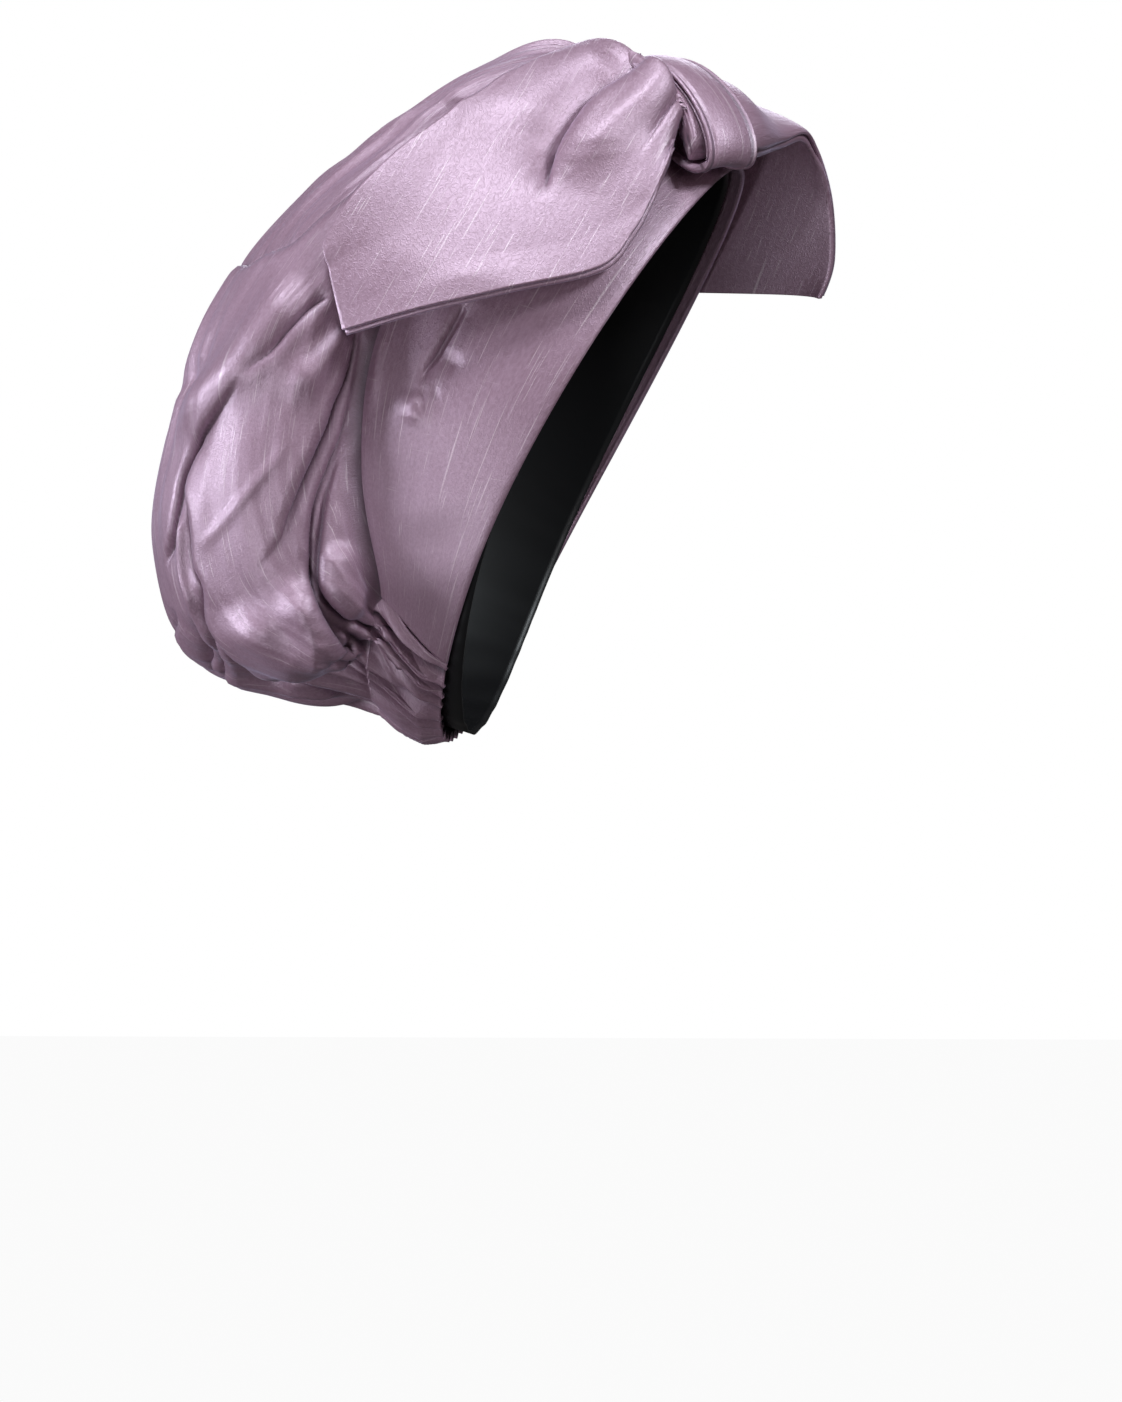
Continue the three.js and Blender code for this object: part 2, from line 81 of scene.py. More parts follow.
BAND_CENTRE = {"name": "centre", "seam": (0, -17, 111), "back": (0, 0), "half_width": 0, "rim_angle": 0}
print("crown sections:", len(SECTIONS), "from", SECTIONS[0]["name"], "to", SECTIONS[-1]["name"])

# %% [markdown]
# ## Reading tables and placing points
# A pattern maker draws a smooth curve through a few marks. `smooth_at` does so through the rows of a
# table, and `on_head` and `rim_point` put points at a height above the head or along the rim. Blender's
# own curves could hold these lines, but a table is easier to read and to change.

# %% Tables and blends
MM = 1000.0
WEARERS_RIGHT = np.array([-1.0, 0.0, 0.0])
# The tables give the seams on the wearer's left. MIRROR takes them to the right.
MIRROR = np.array([-1.0, 1.0, 1.0])


def smooth_at(rows, place):
    """A smooth curve through the rows of a table, read at places counted in rows."""
    rows = np.asarray(rows, float)
    rows = rows.reshape(len(rows), -1)
    last = len(rows) - 1
    i = np.clip(np.floor(place).astype(int), 0, last - 1)
    f = (place - i)[:, None]
    a, b, c, d = (rows[np.clip(i + k, 0, last)] for k in (-1, 0, 1, 2))
    return 0.5 * (2 * b + (c - a) * f + (2 * a - 5 * b + 4 * c - d) * f**2 + (3 * b - a - 3 * c + d) * f**3)


def column(table, key, place):
    """One column of a table, read at places counted in rows."""
    return smooth_at([row[key] for row in table], place)


def smoothstep(x, low, high):
    """A soft step from 0 at low to 1 at high."""
    t = np.clip((x - low) / max(high - low, 1e-9), 0.0, 1.0)
    return t * t * (3 - 2 * t)


def unit(v):
    """Vectors of length 1."""
    return v / np.maximum(np.linalg.norm(v, axis=-1, keepdims=True), 1e-12)


# %% Points on the head
NAPE_POWER = 3


def on_head(points, lift):
    """The points moved straight out from the head's middle, to lift mm above it."""
    out = points - HEAD_CENTRE
    half = HEAD_HALF + np.reshape(lift, (-1, 1)) if np.ndim(lift) else HEAD_HALF + lift
    return out / np.linalg.norm(out / half, axis=-1, keepdims=True) + HEAD_CENTRE


def rim_point(angle, lift, behind=0.0):
    """Points along the rim. The angle starts at the brow and goes round by the wearer's right."""
    angle = np.asarray(angle, float)
    along = np.cos(angle)[:, None] * RIM_UP + np.sin(angle)[:, None] * WEARERS_RIGHT
    nape = np.maximum(0.0, -np.cos(angle)) ** NAPE_POWER
    start = (behind - NAPE_AHEAD * nape)[:, None] * RIM_BACK
    return on_head(start + along * HEAD_HALF[1], lift)


print("brow and nape of the rim, mm:", rim_point([0.0, np.pi], BAND_LIFT).round(1).tolist())

# %% Ripples
WAVE_SCALES = (0.6, 1.7)
WAVES = 5


def wave_noise(u, v, seed):
    """A smooth, seeded ripple, mostly between -1 and 1."""
    rng = np.random.default_rng(seed)
    total = np.zeros_like(u)
    for _ in range(WAVES):
        turn, phase = rng.uniform(0, 2 * np.pi), rng.uniform(0, 2 * np.pi)
        scale = rng.uniform(*WAVE_SCALES)
        total += np.sin(2 * np.pi * scale * (u * np.cos(turn) + v * np.sin(turn)) + phase)
    return total / WAVES**0.5


def ripple(u, v, spec):
    """A ripple of some height, with about so many waves across a panel and along it."""
    return spec["height"] * wave_noise(u * spec["across"], v * spec["along"], spec["seed"])


print("a ripple at five places:", wave_noise(np.linspace(0, 1, 5), np.zeros(5), 3).round(2).tolist())

# %% [markdown]
# ## Panels of cloth
# Every piece was cut flat, so each starts as Blender's grid. The flat panel stays as a UV map in metres,
# which lets the threads follow the cloth, and the grid's points move to where a function says. A cloth
# simulation could drape them, but sewn folds keep their place, and a drawn fold comes out the same on
# every run. Each point also keeps a "crease" value: the painted shade of the folds and gathers at that
# point.

# %% Cloth panel
GRID_HALF = 0.5


def crowded(share, crowd):
    """Shares of a panel's width, closer together towards its first edge."""
    return share - crowd * share * (1 - share)


def map_panel(mesh, points, size, grain, crowd):
    """Writes the UV map: metres across the grain and along it."""
    uv = mesh.uv_layers[0]
    uv.name = "cloth"
    data = np.empty(len(uv.data) * 2)
    uv.data.foreach_get("uv", data)
    data = data.reshape(-1, 2)
    data[:, 0] = crowded(data[:, 0], crowd)
    data = data * np.array(size) / MM
    if grain == "wide":
        data = data[:, ::-1]
    if callable(grain):
        corner = np.empty(len(mesh.loops), int)
        mesh.loops.foreach_get("vertex_index", corner)
        data = grain(points)[corner] / MM
    uv.data.foreach_set("uv", data.ravel())


def cloth(name, wide, long, place, size, grain="long", crowd=0.0):
    """A grid of wide x long faces, whose points go to place(u, v). size is the panel's own, in mm."""
    bpy.ops.mesh.primitive_grid_add(x_subdivisions=wide, y_subdivisions=long, size=1)
    obj = bpy.context.object
    obj.name = obj.data.name = name
    mesh = obj.data
    flat = np.empty(len(mesh.vertices) * 3)
    mesh.vertices.foreach_get("co", flat)
    across, along = flat.reshape(-1, 3)[:, :2].T + GRID_HALF
    points, shade = place(crowded(across, crowd), along)
    mesh.vertices.foreach_set("co", (points / MM).ravel())
    # The "crease" attribute holds painted shade: darkest along folds, in the gathers' valleys and by the
    # band's seam.
    crease = mesh.attributes.new("crease", "FLOAT", "POINT")
    crease.data.foreach_set("value", np.clip(shade, 0, 1).astype(np.float32))
    map_panel(mesh, points, size, grain, crowd)
    mesh.update()
    bpy.ops.object.shade_smooth()
    print(name, "laid out with", len(mesh.polygons), "faces")
    return obj


# %% [markdown]
# ## Right sides, seams and walls
# Cloth has a right side, a seam where its ends meet, and a thickness. The faces and walls could be worked
# out in code, but Blender has tools for them: the edit mode's flip and merge, and the Solidify modifier.

# %% Right side, seam and wall
SEAM_MERGE = 0.00005


def take(obj):
    """Selects one object alone and makes it the active one."""
    bpy.ops.object.select_all(action="DESELECT")
    obj.select_set(True)
    bpy.context.view_layer.objects.active = obj


def edit(obj, action, **settings):
    """Runs one action of the edit mode on an object's whole mesh."""
    take(obj)
    bpy.ops.object.mode_set(mode="EDIT")
    bpy.ops.mesh.select_all(action="SELECT")
    action(**settings)
    bpy.ops.object.mode_set(mode="OBJECT")


def face_away(obj, centre):
    """Turns the faces so that they point away from a place in mm."""
    mesh = obj.data
    count = len(mesh.polygons)
    normals, middles = np.empty(count * 3), np.empty(count * 3)
    mesh.polygons.foreach_get("normal", normals)
    mesh.polygons.foreach_get("center", middles)
    out = middles.reshape(-1, 3) - np.array(centre) / MM
    if (out * normals.reshape(-1, 3)).sum() < 0:
        edit(obj, bpy.ops.mesh.flip_normals)


def close_seam(obj):
    """Merges the points where a panel's ends meet."""
    edit(obj, bpy.ops.mesh.remove_doubles, threshold=SEAM_MERGE)


def thicken(obj, wall):
    """A wall of wall mm behind the cloth's face."""
    take(obj)
    bpy.ops.object.modifier_add(type="SOLIDIFY")
    solid = obj.modifiers[-1]
    solid.thickness = wall / MM
    solid.offset = -1.0
    bpy.ops.object.modifier_apply(modifier=solid.name)


# %% Grids of points
def grid_normals(points, wide, long):
    """Unit normals of a grid of points, long + 1 rows of wide + 1."""
    p = points.reshape(long + 1, wide + 1, 3)
    across, along = np.gradient(p, axis=1), np.gradient(p, axis=0)
    return unit(np.cross(across, along)).reshape(-1, 3)


def relaxed(points, wide, long, passes, share):
    """Points eased towards the middle of their neighbours, with the grid's edges kept."""
    p = points.reshape(long + 1, wide + 1, 3).copy()
    for _ in range(passes):
        middle = (p[:-2, 1:-1] + p[2:, 1:-1] + p[1:-1, :-2] + p[1:-1, 2:]) / 4
        p[1:-1, 1:-1] += share * (middle - p[1:-1, 1:-1])
    return p.reshape(-1, 3)


# %% [markdown]
# ## Folds
# A fold is an overlap, where one layer hangs over the next, or a ridge, where the cloth swells or sinks.
# They could be sculpted with a brush. Here each is a line drawn over the cloth as seen from the
# wearer's right, with heights and widths spaced evenly along it, because a line can be read and moved. A
# path's points are (left, up) in mm from the middle of the rim. An overlap's height raises the side on
# the left of its path, or the right if it is below zero. The far side takes the same folds, mirrored,
# shifted and a little lower.

# %% A fold's line on the cloth
LEAST_FACING = -0.2
PATH_SAMPLES = 70
FINE_SAMPLES = 4 * PATH_SAMPLES
NEAR_SHIFT = {"left": 0.0, "up": 0.0, "height": 1.0}
FAR_SHIFT = {"left": -5.0, "up": 6.0, "height": 0.9}


def fold_view(mirrored):
    """The way to the eye that a fold's line was drawn for."""
    return np.array([math.cos(VIEW_TURN) * (1.0 if mirrored else -1.0), -math.sin(VIEW_TURN), 0.0])


def fold_path(points, normals, path, mirrored):
    """The fold's line in space, through the points of the cloth that lie nearest to the drawn ones."""
    side = 1.0 if mirrored else -1.0
    shift = FAR_SHIFT if mirrored else NEAR_SHIFT
    seen = points[(points[:, 0] * side >= -1.0) & (normals @ fold_view(mirrored) > LEAST_FACING)]
    across = seen[:, 1] * math.cos(VIEW_TURN) + side * seen[:, 0] * math.sin(VIEW_TURN)
    drawn = [(left + shift["left"], up + shift["up"]) for left, up in path]
    found = [seen[np.argmin((across - left) ** 2 + (seen[:, 2] - up) ** 2)] for left, up in drawn]
    fine = smooth_at(found, np.linspace(0, len(found) - 1, FINE_SAMPLES))
    run = np.concatenate([[0], np.cumsum(np.linalg.norm(np.diff(fine, axis=0), axis=1))])
    at = np.linspace(0, run[-1], PATH_SAMPLES)
    return np.stack([np.interp(at, run, fine[:, k]) for k in range(3)], axis=1)


# %% Along a fold and beside it
def along_fold(values, along):
    """A fold's height or width, one number or several spaced evenly along it."""
    values = np.atleast_1d(values).astype(float)
    return np.interp(along, np.linspace(0, 1, len(values)), values)


def beside_fold(points, normals, line, mirrored):
    """Each point's share of the way along the line, the way to its left, and the distance that way."""
    gap = ((points[:, None, :] - line[None]) ** 2).sum(2)
    best = gap.argmin(1)
    walk = unit(np.gradient(line, axis=0))[best]
    left = unit(np.cross(normals, walk)) * (-1.0 if mirrored else 1.0)
    beside = (left * (points - line[best])).sum(1)
    past_end = (best == 0) | (best == len(line) - 1)
    round_end = np.where(beside < 0, -1.0, 1.0) * np.sqrt(gap[np.arange(len(points)), best])
    return best / (len(line) - 1), left, np.where(past_end, round_end, beside)


# %% An overlap's lip and crease
LIP = 2.6
LIP_RAISE = 0.25
LIP_HANG = 0.4
HANG_POWER = 0.7
CREASE_DEPTH = 0.35
CREASE_WIDTH = 1.6
# LIP_SHADE, SHADE_REACH and FULL_SHADE shape the painted shade: how far it reaches over the lip and under
# it, and the fold height that gets it in full.
LIP_SHADE = 0.9
SHADE_REACH = 1.9
FULL_SHADE = 5.0


def overlap(fold, height, width, distance):
    """How far an overlap raises, sinks and drags the cloth, and the painted shade at each point, darkest on
    its line.
    """
    over, tall = np.sign(height) * distance, np.abs(height)
    turn = np.clip(over / fold.get("roll", LIP), 0, 1)
    rise = np.sqrt(1 - (1 - turn) ** 2)
    high = LIP_RAISE * tall * rise * np.exp(-np.maximum(over - LIP, 0) / width)
    low = tall * np.where(over > 0, 1 - rise, np.exp(np.minimum(over, 0) / width))
    low += fold.get("crease", CREASE_DEPTH) * tall * np.exp(-((distance / CREASE_WIDTH) ** 2))
    drag = -np.sign(height) * LIP_HANG * tall * np.sin(np.pi * turn**HANG_POWER)
    # dark is painted shade, darkest on the fold's line, fading fast over the lip and more slowly under it.
    dark = np.exp(np.where(over > 0, -over / LIP_SHADE, over / SHADE_REACH))
    return high, low, drag, dark * np.minimum(tall / FULL_SHADE, 1.0)


lip = overlap({}, np.array([5.0]), np.array([4.0]), np.array([1.0]))
print("1 mm inside a lip of 5 mm, raised, sunk, dragged and dark:", [round(float(x[0]), 2) for x in lip])

# %% All the folds of a piece
FOLD_REACH = 3.2
FOLD_MARGIN = 4.0
MOST_SUNK = 9.0
EYE_PUSH = 1.2
EYE_FACING = 0.5
OUTLINE_SHARE = 0.35
OUTLINE_FACING = 0.3


def folded(points, normals, folds, sides, calm):
    """The points moved by all the folds, and the painted shade of the overlaps' creases. calm is their share
    of each move.
    """
    count = len(points)
    raised, sunk, shade, slide = np.zeros(count), np.zeros(count), np.zeros(count), np.zeros_like(points)
    for fold, mirrored in [(fold, mirrored) for fold in folds for mirrored in sides]:
        line = fold_path(points, normals, fold["path"], mirrored)
        reach = FOLD_REACH * np.max(fold["width"]) + FOLD_MARGIN
        near = np.all((points > line.min(0) - reach) & (points < line.max(0) + reach), axis=1)
        index = np.nonzero(near)[0]
        along, left, distance = beside_fold(points[index], normals[index], line, mirrored)
        fade = smoothstep(along, 0, fold["fade"][0]) * smoothstep(1 - along, 0, fold["fade"][1])
        height = along_fold(fold["height"], along) * fade * (FAR_SHIFT if mirrored else NEAR_SHIFT)["height"]
        width, share = along_fold(fold["width"], along), calm[index]
        if fold["kind"] == "ridge":
            raised[index] += height * np.exp(-((distance / width) ** 2)) * share
            continue
        high, low, drag, dark = overlap(fold, height, width, distance)
        raised[index] += high * share
        sunk[index] += low * share
        shade[index] = np.maximum(shade[index], dark * share)
        slide[index] += left * (drag * share)[:, None]
    return pushed(points, normals, sides, raised - MOST_SUNK * np.tanh(sunk / MOST_SUNK)) + slide, shade


def pushed(points, normals, sides, move):
    """The points moved out and towards the eye, less at the outline, so that a fold stays as drawn."""
    push, front = normals.copy(), np.zeros(len(points))
    for view in [fold_view(mirrored) for mirrored in sides]:
        facing = normals @ view
        front = np.maximum(front, facing)
        push += EYE_PUSH * smoothstep(facing, 0.0, EYE_FACING)[:, None] * view
    move = move * (OUTLINE_SHARE + (1 - OUTLINE_SHARE) * smoothstep(front, 0.0, OUTLINE_FACING))
    return points + unit(push) * move[:, None]


# %% [markdown]
# ## The crown
# The crown is one wide panel of silk, gathered into the band's seams, into the knot and into the nape
# casing, with its big folds caught by a few stitches. A simulation could drape it, but would not find
# these very folds. So the rows of SECTIONS give its fullness, and the folds are drawn over them one by
# one.

# %% Crown folds
def fold(name, kind, fade, height, width, path, **more):
    """One fold: the shares of its length over which it fades in and out, its heights, widths and path."""
    return {"name": name, "kind": kind, "fade": fade, "height": height, "width": width, "path": path, **more}


CROWN_FOLDS = [
    fold("top overlap", "overlap", (0.06, 0.02), (5, 7, 8, 8, 6, 3), (8, 10, 11, 11, 10, 8),
         [(34, 112), (50, 102), (60, 94), (68, 87), (73.9, 80.6), (81.9, 75), (90, 67.7), (94.8, 64.5),
          (102.1, 61.7), (108.1, 58.7), (111.5, 57)]),
    fold("upper ridge", "ridge", (0.2, 0.25), (1.5, 2.5, 1.5), (5, 7, 7),
         [(14, 128), (34, 119), (54, 107), (74, 93), (92, 78)]),
    fold("upper hollow", "ridge", (0.2, 0.25), (-1.2, -2.2, -1.2), (3, 4, 5),
         [(16, 124), (36, 114), (54, 102), (74, 87), (92, 73)]),
    fold("roll crest", "ridge", (0.2, 0.3), (4, 7, 7, 3), (8, 10, 9, 7),
         [(87.6, 55.6), (94.8, 46), (102.1, 37.1), (109.4, 28.2), (117.4, 20.2), (126.3, 11.3),
          (131.9, 2.4)]),
    fold("roll hollow", "ridge", (0.25, 0.25), -3, 5,
         [(111.8, 48.4), (116.6, 41.1), (120.6, 33.1), (124.7, 25), (129.5, 16.9), (132.3, 8.9)]),
    fold("roll edge", "overlap", (0.04, 0.1), (2, 3.5, 3, 1.5, -1, -3, -5, -5, -4, -3.5, -3, -2),
         (3, 5, 5, 5, 4, 4, 4, 3.5, 3, 3, 3, 3),
         [(80.7, 48.4), (86.8, 44.4), (93.2, 37.9), (99.7, 30.6), (107.7, 22.6), (112.6, 16.1),
          (118.2, 9.7), (123.9, 2.4), (129.9, -8.9), (131.5, -18.6), (132.7, -29.1), (134.5, -39.5)]),
    fold("lobe edge", "overlap", (0.06, 0.1), (2, 4, 5, 5, 5, 5, 5, 4, 3), 4.5,
         [(121.8, 3.2), (125.9, -3.3), (128.3, -12.1), (127.1, -20.2), (125.9, -27.4), (125.1, -37.1),
          (122.1, -45.2), (121.4, -54.9), (117.4, -61.3), (110.9, -67.8), (104.5, -73.4), (99.7, -76.2),
          (91.6, -76.6)], crease=0.7),
    fold("strip crest", "ridge", (0.2, 0.3), 3, 2.6,
         [(129.1, -19.4), (129.9, -29.1), (129.5, -38.7), (127.1, -48.4), (124.2, -58.1)]),
    fold("lobe ridge", "ridge", (0.4, 0.2), (0.5, 1.0, 1.1, 1.0, 0.6), 2.0,
         [(93, 8), (96.8, -0.8), (103, -9), (110, -17.5), (117, -26), (123.5, -33.2)]),
    fold("lobe fullness", "ridge", (0.3, 0.2), (4, 8, 9, 7), (12, 12, 11, 9),
         [(112.6, -48.4), (104.5, -60.5), (95.6, -66.2), (86.7, -67.4), (78.7, -65.3)]),
    fold("lobe corner", "ridge", (0.3, 0.1), (3, 6, 8, 7), (6, 6, 6, 5),
         [(93, -40), (91.5, -49), (87.5, -57), (82.5, -62.5), (78.5, -66)]),
    fold("first pleat", "ridge", (0.05, 0.45), (2, 3.5, 4, 2.5), (2, 4, 5.5, 7),
         [(76.3, 38.3), (80.3, 32.3), (86, 25), (91.6, 18.5), (96.5, 12.9)]),
    fold("first pleat edge", "overlap", (0.02, 0.5), (-1.5, -4, -5, -5, -4, -3, -1.5), (2, 3, 4, 5, 6, 7, 7),
         [(73.1, 37.9), (74.7, 29), (77.5, 21), (80.3, 13.7), (83.5, 5.6), (90, -9.7), (94.8, -22.6),
          (97.2, -29.1), (102.9, -37.1), (107.7, -43.6)]),
    fold("second pleat edge", "overlap", (0.02, 0.05), (-1.5, -2, -2.5, -2.5, -3, -4, -5, -6, -6, -5),
         (1.5, 2, 2.5, 2.5, 3, 3.5, 4, 5, 5, 5),
         [(71.5, 37.9), (71.9, 32.3), (73.1, 22.6), (75.5, 11.3), (78.7, 0.8), (85.1, -15.3),
          (87.6, -23.4), (88.4, -33.1), (88.4, -42), (86.7, -49.2), (82.7, -57.3), (77.9, -63.7),
          (73.4, -65.3)]),
    fold("third pleat edge", "overlap", (0.02, 0.05), (-1, -1.5, -1.5, 1, 3, 5, 6, 5),
         (1.5, 2, 2.5, 3, 4, 4, 4, 4),
         [(69.8, 35.5), (71.5, 22.6), (73.9, 11.3), (80.7, -12.9), (83.1, -27.4), (83.9, -40.3),
          (81.9, -46.8), (76.3, -53.3), (71.8, -55.3)]),
    fold("small lobe", "ridge", (0.25, 0.2), 3, 7,
         [(78.7, -29.1), (77.9, -42), (74.7, -48.4), (70.6, -53.3)]),
    fold("lobe hem", "overlap", (0.05, 0.15), (-5, -8, -8, -7, -5), 7,
         [(73.4, -65.3), (76.3, -69.4), (81.9, -71.8), (90.8, -72.2), (98, -73.4), (103.7, -73.4)]),
    fold("under fold 1", "overlap", (0.25, 0.2), 6, 5,
         [(121.4, -56.5), (119, -62.9), (115.8, -69.4), (111.7, -75.8), (107.7, -80.7)]),
    fold("under fold 2", "overlap", (0.25, 0.2), 6, 5,
         [(127.1, -52.4), (123.8, -61.3), (120.6, -67.8), (118.2, -73)]),
    fold("under fold 3", "overlap", (0.25, 0.2), 5, 4.5,
         [(132.7, -49.2), (131.1, -56.5), (127.9, -64.5), (124.7, -71)]),
    fold("under fold 4", "overlap", (0.15, 0.2), -3.5, 4,
         [(99.7, -76.2), (91.6, -77.4), (83.5, -78.7), (74.7, -80.3)]),
]
print("crown folds:", len(CROWN_FOLDS))

# %% Rows of the crown
LEAST_OVERHANG = 0.5


def section_point(place, share):
    """Points of the unfolded crown: by row, and by the share of the way from seam to seam."""
    seam = on_head(column(SECTIONS, "seam", place) * MIRROR, BAND_LIFT)
    back = column(SECTIONS, "back", place)
    half = column(SECTIONS, "half_width", place)[:, 0]
    half = np.maximum(half, -seam[:, 0] + LEAST_OVERHANG)
    opening = np.arccos(-seam[:, 0] / half)
    share_belly = (np.sin(opening) / (1 + np.sin(opening)))[:, None]
    belly = seam[:, 1:] + (back - seam[:, 1:]) * share_belly
    turn = -opening + share * (np.pi + 2 * opening)
    middle = belly + (back - belly) * np.sin(turn)[:, None]
    return np.stack([-half * np.cos(turn), middle[:, 0], middle[:, 1]], axis=1)


middle_row = section_point(np.full(3, 4.0), np.array([0.0, 0.5, 1.0]))
print("seam, back and seam of the middle row, mm:", middle_row.round(1).tolist())

# %% Gathers at the nape
NAPE_GATHERS = 17
NAPE_GATHER_HEIGHT = 6.5
GATHER_DRIFT = {"height": 0.35, "across": 4.0, "along": 0.5, "seed": 21}
GATHER_START = 0.25
GATHER_CREST = 0.45
GATHER_POWER = 1.6
# The next numbers set the painted shade in the gathers' valleys: where it starts and where it is full.
VALLEY_SHADE = (-0.1, 0.55)


def nape_gathers(u, v):
    """Tubes side by side along the nape, with sharp valleys, a little uneven."""
    place = u * NAPE_GATHERS + ripple(u, v, GATHER_DRIFT) + GATHER_START
    across = 2 * (place - np.floor(place)) - 1
    return GATHER_CREST - np.abs(across) ** GATHER_POWER


def nape_valley_shade(u, v):
    """Painted shade in the gathers' valleys: how dark each point is."""
    return smoothstep(-nape_gathers(u, v), *VALLEY_SHADE)


print("gathers at the nape:", NAPE_GATHERS)

# %% Seams of the crown
CROWN_GRID = (300, 310)
CROWN_PANEL = (330, 380)
SEAM_TUCK, SEAM_LIFT = 3.5, 1.9
SEAM_TURN = (-1, 6)


def to_seam(base):
    """Each point's distance along its row to the nearer seam."""
    wide, long = CROWN_GRID
    rows = base.reshape(long + 1, wide + 1, 3)
    run = np.cumsum(np.linalg.norm(np.diff(rows, axis=1, prepend=rows[:, :1]), axis=2), axis=1)
    return np.minimum(run, run[:, -1:] - run).ravel()


def tucked(base, u, from_seam):
    """The points with both edges drawn in under the band."""
    wide, long = CROWN_GRID
    rows = base.reshape(long + 1, wide + 1, 3)
    first, last = (np.repeat(rows[:, k], wide + 1, axis=0) for k in (0, -1))
    seam = np.where((u < 0.5)[:, None], first, last)
    hidden = on_head(seam - SEAM_TUCK * RIM_BACK, SEAM_LIFT)
    return hidden + (base - hidden) * smoothstep(from_seam, *SEAM_TURN)[:, None]


# %% Crown
CROWD = 0.3
CROWN_MIDDLE = np.array([0.0, 40.0, 10.0])
SEAM_CALM, END_CALM, RIPPLE_CALM = (0, 8), (-2, 12), (0, 6)
CROWN_RIPPLES = [
    {"height": 0.35, "across": 9, "along": 4, "seed": 3},
    {"height": 0.12, "across": 30, "along": 8, "seed": 4},
]
BACK_DRAPE = {"height": 1.3, "across": 18, "along": 1.5, "seed": 6}
BACK_FACING = (0.1, 0.5)
GATHER_LENGTH, GATHER_FALL, GATHER_BEND = 18.0, 1.5, 6.0
GATHER_ENDS = (2, 16)
# SEAM_SHADE, SEAM_EDGE and SEAM_SHADE_REACH set a painted shadow of the band's rear edge on the crown: its
# strength, where it starts and how far it reaches.
SEAM_SHADE, SEAM_EDGE, SEAM_SHADE_REACH = 0.9, 3.0, 2.2
EASE_PASSES, EASE_SHARE = 2, 0.3


def crown_points(u, v):
    """The crown's panel: rows, folds, gathers at the nape and a slow ripple."""
    wide, long = CROWN_GRID
    base = section_point(v * (len(SECTIONS) - 1), u)
    normals = grid_normals(base, wide, long)
    if (normals * (base - CROWN_MIDDLE)).sum() < 0:
        normals = -normals
    from_seam, from_nape = to_seam(base), v * CROWN_PANEL[1]
    from_ends = np.minimum(v, 1 - v) * CROWN_PANEL[1]
    calm = smoothstep(from_seam, *SEAM_CALM) * smoothstep(from_ends, *END_CALM)
    points, shade = folded(tucked(base, u, from_seam), normals, CROWN_FOLDS, (False, True), calm)
    drawn_up = np.exp(-(from_nape / GATHER_LENGTH) ** GATHER_FALL) * smoothstep(from_seam, *GATHER_ENDS)
    behind = 1 - smoothstep(np.abs(normals[:, 0]), *BACK_FACING)
    move = sum(ripple(u, v, spec) for spec in CROWN_RIPPLES) + behind * ripple(u, v, BACK_DRAPE)
    move += NAPE_GATHER_HEIGHT * nape_gathers(u, v * GATHER_BEND) * drawn_up
    points = points + normals * (move * smoothstep(from_seam, *RIPPLE_CALM))[:, None]
    # Painted shade in the gathers' valleys.
    shade = np.maximum(shade, drawn_up * nape_valley_shade(u, v * GATHER_BEND))
    # A painted shadow along the band's rear edge.
    past_edge = np.maximum(from_seam - SEAM_EDGE, 0)
    shade = np.maximum(shade, SEAM_SHADE * np.exp(-past_edge / SEAM_SHADE_REACH))
    return relaxed(points, wide, long, EASE_PASSES, EASE_SHARE), shade


crown = cloth("crown_cloth", *CROWN_GRID, crown_points, CROWN_PANEL, crowd=CROWD)
face_away(crown, CROWN_MIDDLE)

# %% [markdown]
# ## The front band
# The band is a smooth, doubled panel from the rim to the seam, over the head from ear to ear. Its rear
# edge lies on the crown's pleats. A Solidify wall with rolled edges stands for the doubled cloth, which
# is lighter than two layers, and its few creases are drawn like the crown's.

# %% Folds of the band
BAND_FOLDS = [
    fold("crease", "overlap", (0.05, 0.3), (-1.5, -2.2, -2.5, -1.5), 5,
         [(37.9, 46.3), (45.4, 34.4), (50.2, 25.8), (52.9, 19.4)], roll=2),
    fold("crease hollow", "ridge", (0.3, 0.3), -1.5, 3.5,
         [(41.1, 31.2), (42.2, 28), (43.8, 23.7)]),
    fold("pucker swell", "ridge", (0.3, 0.3), 2.2, 5,
         [(52.9, 17.2), (54.5, 11.9), (55.1, 6.5)]),
    fold("pucker 1", "ridge", (0.3, 0.3), -1.0, 1.6,
         [(50.8, 19.4), (51.3, 15.1), (50.2, 10.8)]),
    fold("pucker 2", "ridge", (0.3, 0.3), -0.9, 1.5,
         [(47, 21), (48.1, 17.2), (47, 14)]),
    fold("tip gather", "ridge", (0.1, 0.6), 1.0, (1.2, 2, 3),
         [(63.7, 37.7), (66.9, 23.7), (69, 8.6)]),
]
print("band folds:", len(BAND_FOLDS))

# %% Front band
BAND_GRID = (300, 90)
BAND_PANEL = (420, 75)
BAND_WALL = 1.6
BAND_EASE = 0.6
BAND_CALM = (0.0, 0.06)
HEM_ROLL, HEM_RATE = 0.9, 40.0
BAND_RIPPLE = {"height": 0.35, "across": 9, "along": 1.5, "seed": 11}


